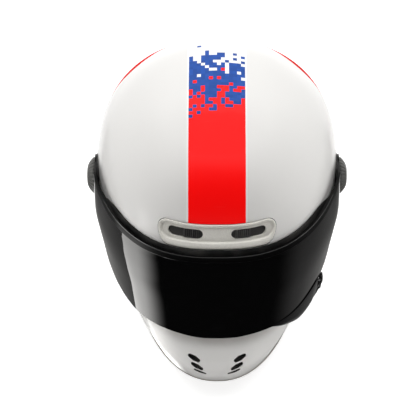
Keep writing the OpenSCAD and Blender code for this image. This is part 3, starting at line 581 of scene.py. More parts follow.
@dataclass
class Graph:
    """A shader node tree that is written node by node."""

    tree: bpy.types.NodeTree

    def fill(self, node: bpy.types.Node, inputs: dict[str | int, Source]) -> None:
        """Feeds a node's inputs, by name or number, with values or wires."""
        for key, value in inputs.items():
            if isinstance(value, Wire):
                self.tree.links.new(value.socket, node.inputs[key])
            else:
                node.inputs[key].default_value = value

    def put(self, kind: str, inputs: dict[str | int, Source] | None = None, **settings: object) -> bpy.types.Node:
        """Adds a node.

        Args:
            kind: the node's Blender type, without its prefix.
            inputs: values or wires for its inputs, by name or number.
            settings: its other settings.

        Returns:
            The node.
        """
        node = self.tree.nodes.new(kind if kind.startswith("NodeGroup") else f"ShaderNode{kind}")
        for name, value in settings.items():
            setattr(node, name, value)
        self.fill(node, inputs or {})
        return node

    def out(self, key: str | int, kind: str, inputs: dict[str | int, Source] | None = None, **settings: object) -> Wire:
        """One output of a new node, whose other arguments are those of put."""
        return Wire(self, self.put(kind, inputs, **settings).outputs[key])

    def math(self, operation: str, *values: Source) -> Wire:
        """Result of a Math node."""
        return self.out(0, "Math", dict(enumerate(values)), operation=operation)

    def ramp(self, value: Source, low: float, high: float, out_low: float = 0.0, out_high: float = 1.0) -> Wire:
        """Value moved smoothly from one range to another and held inside it."""
        return self.out("Result", "MapRange", {"Value": value, "From Min": low, "From Max": high, "To Min": out_low,
                                               "To Max": out_high}, interpolation_type="SMOOTHSTEP")

    def mix(self, share: Source, a: Source, b: Source) -> Wire:
        """Colour a mixed with colour b by a share."""
        a, b = ((*value, 1.0) if isinstance(value, tuple) else value for value in (a, b))
        return self.out(2, "Mix", {0: share, 6: a, 7: b}, data_type="RGBA")

    def blend(self, share: Source, a: Source, b: Source) -> Wire:
        """Number a mixed with number b by a share."""
        return self.out(0, "Mix", {0: share, 2: a, 3: b}, data_type="FLOAT")

    def place(self, scale: Source = 1.0) -> Wire:
        """The piece's own coordinates in metres, times a scale."""
        return self.out(0, "VectorMath", {0: self.out("Object", "TexCoord"), "Scale": scale}, operation="SCALE")

    def parts(self, vector: Wire) -> tuple[Wire, Wire, Wire]:
        """The three coordinates of a vector."""
        node = self.put("SeparateXYZ", {0: vector})
        return tuple(Wire(self, node.outputs[k]) for k in "XYZ")

    def noise(self, vector: Source, scale: Source, detail: float = 3.0) -> Wire:
        """Value of a noise, 0 to 1."""
        return self.out(0, "TexNoise", {"Vector": vector, "Scale": scale, "Detail": detail})

    def seen(self) -> Wire:
        """1 for the rays that show the background: those of the camera, of mirrors and of glass."""
        paths = self.put("LightPath").outputs
        camera, glossy, clear = (Wire(self, paths[f"Is {kind} Ray"]) for kind in ("Camera", "Glossy", "Transmission"))
        return self.math("MAXIMUM", camera, self.math("MAXIMUM", glossy, clear))

    def group(self, tree: bpy.types.NodeTree, **values: float) -> Wires:
        """Places a shared effect.

        Args:
            tree: the effect's node group.
            values: its inputs, with an underscore for each space in their names.

        Returns:
            The effect's outputs by name.
        """
        node = self.put("Group", node_tree=tree)
        self.fill(node, {key.replace("_", " "): value for key, value in values.items()})
        return {socket.name: Wire(self, socket) for socket in node.outputs}


def effect(**inputs: float) -> Callable[[Callable[..., Wires]], Callable[[], bpy.types.NodeTree]]:
    """Makes a function into a shader node group, which is built at its first use.

    Args:
        inputs: the group's inputs with their first values, with an underscore for each space in their names.

    Returns:
        The decorator of the function, which takes the graph and a wire of each input and returns the outputs.
    """

    def decorate(build: Callable[..., Wires]) -> Callable[[], bpy.types.NodeTree]:
        def tree_of() -> bpy.types.NodeTree:
            name = build.__name__
            if name in bpy.data.node_groups:
                return bpy.data.node_groups[name]
            tree = bpy.data.node_groups.new(name, "ShaderNodeTree")

            def socket(key: str, way: str) -> bpy.types.NodeTreeInterfaceSocket:
                return tree.interface.new_socket(key, in_out=way, socket_type="NodeSocketFloat")

            for key, value in inputs.items():
                socket(key.replace("_", " "), "INPUT").default_value = value
            graph = Graph(tree)
            entry = graph.put("NodeGroupInput")
            results = build(graph, *(Wire(graph, entry.outputs[k]) for k in range(len(inputs))))
            for key in results:
                socket(key, "OUTPUT")
            graph.put("NodeGroupOutput", results)
            return tree

        return tree_of

    return decorate


@effect(Scale=20.0, Amount=1.0)
def scuffs(graph: Graph, scale: Wire, amount: Wire) -> Wires:
    """Fine, long scratches and a faint haze."""
    spot = graph.place(scale)
    long = graph.out(0, "Mapping", {"Vector": spot, "Rotation": (0.4, 0.9, 0.2), "Scale": (1.0, 26.0, 9.0)})
    haze = graph.ramp(graph.noise(spot, 1.6, 4.0), 0.35, 0.75)
    return {"Mask": graph.ramp(graph.noise(long, 3.0, 2.0), 0.66, 0.74) * haze * amount, "Haze": haze}


@effect(Grain_mm=0.6)
def moulded_grain(graph: Graph, grain: Wire) -> Wires:
    """The fine leathery grain of moulded plastic or rubber."""
    spot = graph.place(1 / MM)
    cells = graph.out("Distance", "TexVoronoi", {"Vector": spot, "Scale": 1.0 / grain}, feature="SMOOTH_F1")
    height = cells * 0.7 + graph.noise(spot, 2.5 / grain, 2.0) * 0.3
    return {"Height": height, "Mask": graph.ramp(height, 0.25, 0.7)}


@effect(Amount=0.5)
def edge_wear(graph: Graph, amount: Wire) -> Wires:
    """Worn edges, broken up by a noise."""
    edge = graph.ramp(graph.out("Pointiness", "NewGeometry"), 0.52, 0.62)
    return {"Mask": edge * graph.ramp(graph.noise(graph.place(), 220.0), 0.4, 0.7) * amount}


@effect(Thread_mm=1.0)
def weave(graph: Graph, thread: Wire) -> Wires:
    """Crossing threads, by the piece's own coordinates in millimetres."""
    spot = graph.place(1 / MM)
    x, y, z = graph.parts(spot)
    turn = 2 * math.pi / thread
    threads = graph.math("SINE", (x + z) * turn) * graph.math("SINE", (y - z) * turn)
    fuzz = graph.noise(spot, 2.2)
    return {"Height": fuzz * 0.35 + (threads * 0.5 + 0.5) * 0.65, "Fuzz": fuzz}


@effect(Bead_mm=3.2)
def beads(graph: Graph, bead: Wire) -> Wires:
    """The fused beads of moulded foam."""
    cells = {"Vector": graph.place(1 / MM), "Scale": 1.0 / bead}
    gap = graph.out("Distance", "TexVoronoi", cells, feature="DISTANCE_TO_EDGE")
    return {"Height": graph.ramp(gap, 0.0, 0.16), "Shade": graph.parts(graph.out("Color", "TexVoronoi", cells))[0]}


def new_material(name: str) -> tuple[bpy.types.Material, Graph, bpy.types.Node]:
    """A material, the graph of its nodes and its Principled shader."""
    material = bpy.data.materials.new(name)
    material.use_nodes = True
    return material, Graph(material.node_tree), material.node_tree.nodes["Principled BSDF"]


@dataclass(frozen=True)
class Finish:
    """A finish: the values that are the same all over, and how much of each effect it shows."""

    name: str
    colour: Colour
    roughness: float = 0.4
    metallic: float = 0.0
    ior: float = 1.5
    coat: float = 0.0
    sheen: float = 0.0
    bump: float = 0.0

    def dent(self, graph: Graph, height: Source, depth_mm: float) -> Wire:
        """The normal of a surface that a height dents, at a depth in millimetres."""
        return graph.out(0, "Bump", {"Height": height, "Strength": self.bump, "Distance": depth_mm * MM})

    def tones(self, factor: float, lift: float = 0.0) -> Colour:
        """The finish's colour times a factor, and lifted."""
        return tuple(min(1.0, c * factor + lift) for c in self.colour)

    def inputs(self, graph: Graph) -> dict[str, Source]:
        """What changes over the surface, by the shader's input that it feeds."""
        raise NotImplementedError

    def material(self) -> bpy.types.Material:
        """The Blender material, built once."""
        if self.name in bpy.data.materials:
            return bpy.data.materials[self.name]
        material, graph, shader = new_material(self.name)
        graph.fill(shader, {"Base Color": (*self.colour, 1.0), "Roughness": self.roughness, "Metallic": self.metallic,
                            "IOR": self.ior, "Coat Weight": self.coat, "Coat Roughness": 0.03,
                            "Sheen Weight": self.sheen, "Sheen Roughness": 0.4})
        graph.fill(shader, self.inputs(graph))
        return material


@dataclass(frozen=True)
class Moulded(Finish):
    """Moulded plastic or rubber with a grain, scuffs and paler worn edges."""

    grain_mm: float = 0.6
    wear: float = 0.5
    scuffed: float = 0.6

    def inputs(self, graph: Graph) -> dict[str, Source]:
        """The grain's tones and dents under dust, wear and scratches."""
        grain = graph.group(moulded_grain(), Grain_mm=self.grain_mm)
        marks = graph.group(scuffs(), Scale=24.0, Amount=self.scuffed)
        wear = graph.group(edge_wear(), Amount=self.wear)["Mask"]
        base = graph.mix(grain["Mask"], self.tones(0.86), self.tones(1.14))
        dusty = graph.mix(marks["Haze"] * 0.12, base, (0.32, 0.31, 0.29))
        edged = graph.mix(wear, dusty, self.tones(0.6, 0.12))
        return {"Base Color": graph.mix(marks["Mask"] * 0.25, edged, (0.4, 0.4, 0.4)),
                "Roughness": marks["Haze"] * 0.12 + (self.roughness - 0.04) - wear * 0.12,
                "Normal": self.dent(graph, grain["Height"], 0.05)}


@dataclass(frozen=True)
class Gloss(Finish):
    """Polished plastic with a faint waviness and a few fine scratches."""

    def inputs(self, graph: Graph) -> dict[str, Source]:
        """The scratches and the waviness."""
        scratch = graph.group(scuffs(), Scale=15.0, Amount=0.5)["Mask"]
        return {"Base Color": graph.mix(scratch * 0.05, self.colour, (0.5, 0.5, 0.5)),
                "Roughness": scratch * 0.2 + self.roughness,
                "Normal": self.dent(graph, graph.noise(graph.place(), 30.0, 2.0), 0.25)}


@dataclass(frozen=True)
class Metal(Finish):
    """Turned or drawn steel with fine brush lines and small dents of use."""

    line_mm: float = 0.25

    def inputs(self, graph: Graph) -> dict[str, Source]:
        """The brush lines, which the edges and scratches break."""
        lines = graph.out(0, "Mapping", {"Vector": graph.place(1 / MM / self.line_mm), "Scale": (0.06, 1.0, 1.0)})
        brush = graph.noise(lines, 1.0, 2.0)
        scratch = graph.group(scuffs(), Scale=60.0, Amount=1.0)["Mask"]
        wear = graph.group(edge_wear(), Amount=0.8)["Mask"]
        tone = graph.mix(brush, self.tones(0.78), self.tones(1.15))
        return {"Base Color": graph.mix(wear, tone, self.tones(1.5)),
                "Roughness": brush * 0.16 + (self.roughness - 0.08) + scratch * 0.2,
                "Normal": self.dent(graph, brush, 0.02)}


@dataclass(frozen=True)
class Foam(Finish):
    """Moulded foam whose beads show."""

    bead_mm: float = 3.4

    def inputs(self, graph: Graph) -> dict[str, Source]:
        """The beads' tones and the dark gaps between them."""
        bead = graph.group(beads(), Bead_mm=self.bead_mm)
        tone = graph.mix(bead["Shade"], self.tones(0.8), self.tones(1.25))
        return {"Base Color": graph.mix(bead["Height"], self.tones(0.55), tone),
                "Roughness": graph.ramp(bead["Height"], 0.0, 1.0, self.roughness + 0.1, self.roughness),
                "Normal": self.dent(graph, bead["Height"], 0.35)}


@dataclass(frozen=True)
class Cloth(Finish):
    """Woven or knitted cloth with a nap."""

    thread_mm: float = 1.0

    def inputs(self, graph: Graph) -> dict[str, Source]:
        """The threads, with paler patches and edges."""
        cloth = graph.group(weave(), Thread_mm=self.thread_mm)
        wear = graph.group(edge_wear(), Amount=0.4)["Mask"]
        shade = graph.mix(cloth["Height"], self.tones(0.55), self.tones(1.35))
        patchy = graph.mix(graph.noise(graph.place(), 28.0) * 0.3, shade, self.tones(1.6))
        return {"Base Color": graph.mix(wear, patchy, self.tones(2.0)),
                "Roughness": graph.ramp(cloth["Fuzz"], 0.2, 0.8, self.roughness - 0.08, self.roughness + 0.06),
                "Normal": self.dent(graph, cloth["Height"], 0.25)}


@dataclass(frozen=True)
class Paint(Finish):
    """The shell's paint: a stripe over the crown that breaks up into squares, and a leaf mark on each side.

    Lengths are in millimetres. Places along the stripe are measured on an arc about its centre. The red glows a little
    as painted light.
    """

    stripe: Colour = (1.0, 0.0, 0.0)
    second: Colour = (0.010, 0.085, 0.42)
    film: Colour = (0.75, 0.002, 0.002)
    border: Colour = (0.93, 0.93, 0.92)
    # Colour of the painted shadow under the visor.
    visor_shadow_tone: Colour = (0.21, 0.18, 0.15)
    half_width: float = 28.4
    border_width: float = 1.7
    square: float = 4.05
    centre_y: float = 22.0
    centre_z: float = 105.0
    arc: float = 150.0
    stripe_end: float = 87.0
    second_fade: tuple[float, float] = (174.0, 296.0)
    white_fade: tuple[float, float] = (243.0, 334.0)
    # Strength of the red stripe's own glow: painted light that makes the red brighter than the lamps make it.
    glow: float = 0.2
    # Heights and front span of the painted shadow under the visor, in millimetres.
    visor_shadow_low: tuple[float, float] = (66.0, 81.0)
    visor_shadow_top: float = 88.0
    visor_shadow_front: tuple[float, float] = (-120.0, -70.0)
    leaf_x: float = 80.0
    leaf_half: float = 36.0
    leaf_z: float = 157.7
    leaf_slope: float = 0.393
    leaf_bow: float = 5.0
    leaf_height: float = 12.0
    leaf_front: float = 30.0

    def chance(self, graph: Graph, column: Wire, row: Wire, seed: float, size: float = 1.0) -> Wire:
        """Random number of the square, or group of squares, that a place lies in."""
        cell = {0: math.floor(column / size), 1: math.floor(row / size), 2: seed}
        return graph.out("Value", "TexWhiteNoise", {"Vector": graph.out(0, "CombineXYZ", cell)}, noise_dimensions="3D")

    def with_visor_shadow(self, graph: Graph, y: Wire, z: Wire) -> Wire:
        """The shell's own colour, darkened by a painted shadow, broken up by a noise, just under the visor's lower edge
        at the front.
        """
        patches = graph.ramp(graph.noise(graph.place(), 9.0, 2.0), 0.3, 0.7)
        clean = graph.mix(patches, self.tones(0.985), self.tones(1.0))
        # Painted shadow: a dark band on the shell just below the visor's lower edge, at the front.
        where = graph.ramp(z, *self.visor_shadow_low) * (z < self.visor_shadow_top) * graph.ramp(y, *self.visor_shadow_front, 1.0, 0.0)
        return graph.mix(where * graph.ramp(graph.noise(graph.place(), 60.0), 0.2, 0.8, 0.36, 0.5), clean, self.visor_shadow_tone)

    def leaf(self, y: Wire, z: Wire, width: Wire) -> Wire:
        """Mask of the leaf marks towards the rear."""
        lengthwise = (width - self.leaf_x) / self.leaf_half
        leaf = 1.0 - lengthwise * lengthwise
        from_middle = abs(z - y * self.leaf_slope - self.leaf_z - leaf * self.leaf_bow)
        return (leaf * self.leaf_height - from_middle > 0.0) * (y > self.leaf_front)

    def inputs(self, graph: Graph) -> dict[str, Source]:
        """The stripe, its fade and the marks, over the shell's colour and under the coat, with a painted glow on the
        red.
        """
        x, y, z = graph.parts(graph.place(1 / MM))
        width = abs(x)
        along = graph.math("ARCTAN2", z - self.centre_z, self.centre_y - y) * self.arc
        column = math.floor((x + 500.0 * self.square) / self.square)
        row = math.floor(along / self.square)

        def broken(low: float, high: float, seed: float) -> Wire:
            """Mask that turns on square by square between two places along the stripe."""
            small = self.chance(graph, column, row, seed) * 0.55
            large = self.chance(graph, column, row, seed + 7.0, 2.0) * 0.45
            return graph.ramp(row * self.square, low, high) > small + large

        second_on = broken(*self.second_fade, 3.0)
        white_on = broken(*self.white_fade, 11.0)
        front = along > self.stripe_end
        inside = (width < self.half_width) * front
        edge = (width < self.half_width + self.border_width) * front
        shade = self.chance(graph, column, row, 19.0) * 0.45
        second = graph.mix(shade, self.second, tuple(0.45 * c for c in self.second))
        striped = graph.mix(white_on, graph.mix(second_on, self.stripe, second), self.border)
        # The shell's own colour here carries the painted shadow under the visor.
        colour = graph.mix(inside, graph.mix(edge, self.with_visor_shadow(graph, y, z), self.border), striped)
        leaf_on = self.leaf(y, z, width)
        marks = graph.group(scuffs(), Scale=10.0, Amount=0.5)
        glossy = marks["Haze"] * 0.06 + self.roughness
        # Where the stripe is still red it glows by itself: painted light.
        stripe_glow_mask = inside * ((1.0 - second_on) * (1.0 - white_on))
        base = graph.mix(leaf_on, colour, self.film)
        return {"Base Color": graph.mix(marks["Mask"] * 0.06, base, (0.35, 0.34, 0.32)),
                "Roughness": graph.math("MAXIMUM", glossy, leaf_on),
                "Coat Weight": (1.0 - leaf_on) * self.coat,
                "Emission Color": graph.mix(stripe_glow_mask, (0.0, 0.0, 0.0), self.stripe),
                "Emission Strength": self.glow,
                "Normal": self.dent(graph, graph.noise(graph.place(), 420.0, 2.0), 0.012)}


class Finishes:
    """Every finish of the helmet."""

    paint = Paint("shell_paint_clear_coat", (0.83, 0.82, 0.80), roughness=0.3, ior=1.3, coat=0.3, bump=0.3)
    laminate = Moulded("shell_inner_laminate", (0.10, 0.095, 0.08), roughness=0.6, bump=0.6, grain_mm=2.2, wear=0.0)
    cut_edge = Moulded("shell_cut_edge", (0.05, 0.048, 0.045), roughness=0.5, bump=0.3, wear=0.2)
    vent_grey = Moulded("vent_grey_plastic", (0.84, 0.82, 0.76), roughness=0.34, bump=0.15, grain_mm=0.4, wear=0.1,
                        scuffed=0.2)
    smoke = Gloss("smoke_screen", (0.0012, 0.0012, 0.0014), roughness=0.05)
    gloss_black = Gloss("latch_gloss_black", (0.006, 0.006, 0.0065), roughness=0.12, bump=0.03)
    band_black = Gloss("visor_band_black", (0.002, 0.002, 0.002), roughness=0.3, ior=1.25, bump=0.03)
    # Pale strip along the visor's upper edge: a painted highlight line.
    edge_highlight = Gloss("visor_painted_highlight", (0.075, 0.075, 0.075), roughness=0.25, bump=0.03)
    matt_black = Moulded("matt_black_plastic", (0.018, 0.018, 0.018), roughness=0.5, bump=0.35, grain_mm=0.45)
    slider_grey = Moulded("slider_dark_plastic", (0.035, 0.033, 0.032), roughness=0.38, bump=0.2, grain_mm=0.4)
    grille_grey = Moulded("chin_louvre_plastic", (0.13, 0.125, 0.12), bump=0.2, grain_mm=0.4)
    hub_grey = Moulded("hub_satin_grey", (0.055, 0.055, 0.05), roughness=0.36, bump=0.2, grain_mm=0.4, wear=0.6)
    rubber = Moulded("gasket_rubber", (0.004, 0.004, 0.004), roughness=0.7, ior=1.3, bump=0.35, grain_mm=0.5, wear=0.25)
    trim_rubber = Moulded("trim_rubber", (0.42, 0.40, 0.37), roughness=0.55, bump=0.45, grain_mm=0.7, wear=0.35)
    steel = Metal("steel_satin", (0.42, 0.42, 0.43), roughness=0.32, metallic=1.0, bump=0.3)
    dark_steel = Metal("steel_blackened", (0.10, 0.10, 0.10), roughness=0.38, metallic=1.0, bump=0.3)
    foam = Foam("liner_foam", (0.035, 0.035, 0.037), roughness=0.72, bump=0.7)
    lining = Cloth("lining_cloth", (0.045, 0.046, 0.05), roughness=0.9, sheen=0.35, bump=0.5, thread_mm=1.3)
    face_cloth = Cloth("lining_mesh_cloth", (0.02, 0.02, 0.022), roughness=0.92, sheen=0.25, bump=0.8, thread_mm=2.4)
    piping = Cloth("lining_piping", (0.38, 0.012, 0.01), roughness=0.75, sheen=0.3, bump=0.4, thread_mm=0.8)
    webbing = Cloth("strap_webbing", (0.012, 0.012, 0.013), roughness=0.8, sheen=0.25, bump=1.0, thread_mm=1.8)
    curtain = Cloth("curtain_knit", (0.016, 0.016, 0.017), roughness=0.9, sheen=0.3, bump=0.7, thread_mm=1.5)


@dataclass
class Workshop:
    """Makes the pieces and keeps count of them."""

    made: list[str] = field(default_factory=list)

    def rough(self, name: str, form: Form, *finishes: Finish) -> bpy.types.Object:
        """Object of a form, smoothly shaded, with a finish for each layer; the last serves the layers without one."""
        fitting = (finishes[min(layer.value, len(finishes) - 1)].material() for layer in Layer)
        obj = linked(name, mesh_of(name, form), fitting)
        obj.data.shade_smooth()
        return obj

    def piece(self, name: str, form: Form, *finishes: Finish, slot: str, node: str, body: str = "helmet",
              sharp: float = 50.0, bevel: float = 0.0) -> bpy.types.Object:
        """Makes a piece of the object.

        Args:
            name: the piece's name.
            form: its form in millimetres.
            finishes: the finish of each layer.
            slot: the record's material slot; not used.
            node: the node that it stands for.
            body: the body that it rides on.
            sharp: angle in degrees over which an edge shades as a sharp one.
            bevel: width in millimetres of the rounding of its sharp edges.

        Returns:
            The object.
        """
        obj = self.rough(name, form, *finishes)
        obj.data.set_sharp_from_angle(angle=math.radians(sharp))
        if bevel:
            rounding = obj.modifiers.new("rounding", "BEVEL")
            rounding.width, rounding.segments, rounding.limit_method = bevel * MM, 2, "ANGLE"
            rounding.angle_limit = math.radians(sharp)
            rounding.harden_normals = True
            settle(obj)
        self.join(obj, body, slot, node)
        return obj

    def join(self, obj: bpy.types.Object, body: str, slot: str, node: str) -> None:
        """Makes an object ride on its body and stand for its node."""
        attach(obj, body)
        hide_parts(node)
        self.made.append(obj.name)
        LOG.info("%s: %d faces on %s", obj.name, len(obj.data.polygons), body)

    def dress(self, finish: Finish, *nodes: str) -> None:
        """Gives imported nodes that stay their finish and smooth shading."""
        for node in nodes:
            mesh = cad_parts[node].data
            mesh.materials.clear()
            mesh.materials.append(finish.material())
            mesh.shade_smooth()
            mesh.set_sharp_from_angle(angle=math.radians(30.0))
            self.made.append(node)
            LOG.info("%s: packed node, dressed as %s", node, finish.name)


@dataclass
class Eyeport:
    """The opening for the eyes, as shares of the way up at each angle."""

    low_z: float = 87.0
    top_z: float = 173.0
    half_angle: float = 64.0
    corner: float = 0.07
    turn: float = 16.0
    fade: float = 24.0

    def __post_init__(self) -> None:
        """Finds the shares of both edges at the front."""
        self.low, self.top = SHELL.share_at(self.low_z), SHELL.share_at(self.top_z)

    def close(self, u: Points) -> Points:
        """How far each edge closes in towards the other."""
        a = np.abs(u)
        start = self.half_angle - self.turn
        round_part = 1 - np.sqrt(np.clip(1 - (np.clip(a - start, 0, self.turn) / self.turn) ** 2, 0, 1))
        return self.corner * np.where(a <= self.half_angle, round_part, 1 - smooth((a - self.half_angle) / self.fade))

    def bottom(self, u: Points) -> Points:
        """Share of the lower edge."""
        return self.low + self.close(u)

    def head(self, u: Points) -> Points:
        """Share of the upper edge."""
        return self.top - self.close(u)

    def angles(self, stops: Sequence[float], last: Sequence[float], step: float) -> Points:
        """Angles over the opening, closer together at its ends.

        Args:
            stops: angles before the end that the even steps pass through, down to where they stop.
            last: angles before the end that follow, down to 0.
            step: the widest gap of the even steps.

        Returns:
            The angles, from the wearer's right to their left.
        """
        even = spread(0, *(self.half_angle - stop for stop in stops), step=step)
        half = np.concatenate([even, self.half_angle - np.array(last)])
        return np.concatenate([-half[:0:-1], half])


PORT = Eyeport()


@dataclass
class VentPlace:
    """The forehead vent's own coordinates: a across and b up, in millimetres from its middle."""

    z: float = 193.6
    width: float = 116.0
    height: float = 20.6
    window_in: float = 14.0
    window_l: float = 35.0
    window_h: float = 9.6
    lip_drop: float = 4.5

    def __post_init__(self) -> None:
        """Finds the share of the vent's middle and the length of a share there."""
        self.t = SHELL.share_at(self.z)
        ends = SHELL.point(np.array([self.t - 0.01, self.t + 0.01]), np.zeros(2))
        self.scale = float(np.linalg.norm(ends[1] - ends[0])) / 0.02

    def at(self, a: Points, b: Points, off: Points) -> Points:
        """Point of the vent's place, off the shell."""
        t = self.t + b / self.scale
        return SHELL.skin(t, SHELL.angle_at(t, a), off)

    def outline(self, half_l: float, half_h: float, count: int = 96, middle: float = 0.0) -> Points:
        """Slot with round ends about a middle, as pairs of a and b.

        Args:
            half_l: half its length.
            half_h: half its height, and the radius of its ends.
            count: number of points.
            middle: place of its middle across.

        Returns:
            The pairs, counterclockwise.
        """
        straight = half_l - half_h
        right = np.linspace(-np.pi / 2, np.pi / 2, count // 4)
        top = np.linspace(straight, -straight, count // 4 + 2)[1:-1]
        a = np.concatenate([straight + half_h * np.cos(right), top, -straight + half_h * np.cos(right + np.pi), -top])
        b = half_h * np.concatenate([np.sin(right), 0 * top + 1, np.sin(right + np.pi), 0 * top - 1])
        return np.stack([middle + a, b], 1)

    def rim(self, inset: float, count: int, wide_lip: bool = True) -> Points:
        """Outline of the frame, inset by a distance, whose lower half reaches further down where the lip is wide."""
        ring = self.outline(self.width / 2 - inset, self.height / 2 - inset, count)
        if wide_lip:
            ring[:, 1] *= np.where(ring[:, 1] < 0, 1 + self.lip_drop / (self.height / 2), 1.0)
        return ring

    def rings(self, rows: Iterable[tuple[Points, float]]) -> Points:
        """Outlines laid over the shell, each at its own distance off it."""
        return np.stack([self.at(ring[:, 0], ring[:, 1], off) for ring, off in rows])


VENT = VentPlace()


@dataclass
class Shell:
    """The painted outer shell, its rubber edge and the gasket round the eyeport."""

    shop: Workshop
    step: float = 2.4
    slots: int = 3
    slot_z: float = 59.2
    slot_x: float = 23.3
    slot_pitch: float = 6.4
    slot_l: float = 14.0
    slot_w: float = 5.8
    slot_slant: float = 20.0
    slot_shrink: float = 0.16
    dish_x: float = 122.5
    dish_r: float = 26.0
    floor_x: float = 121.0
    base_r: float = 24.0
    dish_h: float = 12.0
    exhaust_t: float = 0.47
    exhaust_u: float = 160.0
    trim_t: float = 2.0
    gasket_h: float = 2.6
    flat_t: float = 335.0
    flat_u: float = 2.05

    def sheets(self) -> tuple[Points, Points, Keep]:
        """Both skins of the shell, and what says which of their cells lie outside the eyeport."""
        port = PORT.angles((16, 8, 4), (3, 2.2, 1.5, 0.9, 0.45, 0.15, 0), self.step)
        a = PORT.half_angle
        u = np.concatenate([port, spread(a, 180, 360 - a, step=self.step)[1:-1]])[:, None]
        low, high = PORT.bottom(u), PORT.head(u)
        low_rows = np.concatenate([[0, 0.012, 0.035], np.linspace(0.07, 1, 27)])
        middle_rows = np.linspace(0, 1, 15)[1:]
        crown = lerp(high, 1.0, np.linspace(0, 1, 46)[1:])
        t = np.concatenate([low * low_rows, lerp(low, high, middle_rows), crown], 1)
        first = len(low_rows) - 1
        return (SHELL.skin(t, u), SHELL.skin(t, u, -SHELL.wall),
                lambda j, i: j >= len(port) - 1 or not first <= i < first + len(middle_rows))

    def slot_place(self, k: int) -> tuple[Points, Points]:
        """Axes and origin of a chin slot on the wearer's left, counted from the uppermost."""
        t = SHELL.share_at(self.slot_z - k * self.slot_pitch)
        return SHELL.cross_frame(t, float(SHELL.angle_at(t, self.slot_x - 3 * k)))

    def slot_cutter(self, k: int) -> Form:
        """Lens-shaped cutter for one chin slot on the wearer's left, square to the shell."""
        r = self.slot_w / 2 * (1 - self.slot_shrink * k)
        tip = 0.7 * r
        reach = self.slot_l / 2 - tip
        lean = math.asin((r - tip) / reach)
        arc = np.linspace(-np.pi / 2 + lean, np.pi / 2 - lean, 7)
        side = np.linspace(np.pi / 2 - lean, np.pi / 2 + lean, 5)[1:-1]
        half = np.concatenate([np.stack([reach + tip * np.cos(arc), tip * np.sin(arc)], 1),
                               np.stack([r * np.cos(side), r * np.sin(side)], 1)])
        c, s = math.cos(math.radians(self.slot_slant)), math.sin(math.radians(self.slot_slant))
        outline = np.concatenate([half, -half]) @ np.array([[c, s], [-s, c]])
        return prism(outline, -9.0, 5.0).placed(*self.slot_place(k))

    def cutters(self) -> list[Form]:
        """Everything that is cut out of the shell."""
        left = [turned([(r, 0), (r, self.dish_h)], 96).at_pivot(x)
                for r, x in ((self.dish_r, self.dish_x), (self.base_r, self.floor_x))]
        exhaust = prism(VENT.outline(10.0, 3.0, 32), -8, 8)
        left.append(exhaust.placed(*SHELL.cross_frame(self.exhaust_t, self.exhaust_u)))
        left += [self.slot_cutter(k) for k in range(self.slots)]
        rim = VENT.rim(-3 * FIT, 128)
        return [slot_tube(VENT.rings((rim, off) for off in (-8.0, 5.0))), *left, *(form.mirrored() for form in left)]

    def build_shell(self) -> None:
        """Makes the shell with all its openings."""
        outer, inner, keep = self.sheets()
        form = closed_sheet(outer, inner, keep, wrap=True, apex=True)
        obj = self.shop.rough("shell_painted", form, Finishes.paint, Finishes.laminate, Finishes.cut_edge)
        carve(obj, self.cutters())
        self.shop.join(obj, "helmet", "shell_paint", "shell")

    def build_trim(self) -> None:
        """Makes the rubber channel over the shell's lower edge."""
        u = np.linspace(-180, 180, 180, endpoint=False)
        upper = 0.12 * PORT.bottom(u)
        ground = SHELL.point(0.0, u)[:, 2] - SHELL.edge_z
        seat = SHELL.wall + FIT

        def wall(off: float, k: float = 1.0, lift: float = 0.0) -> Points:
            """Line at a share of the channel's height, lifted."""
            return lerp(SHELL.skin(0.0, u, off), SHELL.skin(upper, u, off), k) + lift * UP

        def foot(off: float, lift: float = 0.0) -> Points:
            """Line at a height over the level that the helmet rests on."""
            line = SHELL.skin(0.0, u, off)
            return xyz(line[:, 0], line[:, 1], ground + lift)

        out, inn = FIT + self.trim_t, -seat - self.trim_t
        rings = [wall(out - 0.7, lift=0.35), wall(out - 0.15, lift=-0.1), wall(out, 0.65), wall(out, 0.25),
                 foot(out, 2.4),
                 foot(out - 0.25, 0.8), foot(out - 1.0), foot(-SHELL.wall / 2), foot(inn + 1.0), foot(inn + 0.25, 0.8),
                 foot(inn, 2.4), wall(inn, 0.25), wall(inn, 0.65), wall(inn + 0.15, lift=-0.1),
                 wall(inn + 0.7, lift=0.35), wall(-seat), wall(-seat, 0.0, -FIT), wall(FIT, 0.0, -FIT), wall(FIT)]
        self.shop.piece("edge_trim_rubber", ring_tube(np.stack(rings, 1), wrap=True), Finishes.trim_rubber,
                        slot="rubber", node="edge_trim")

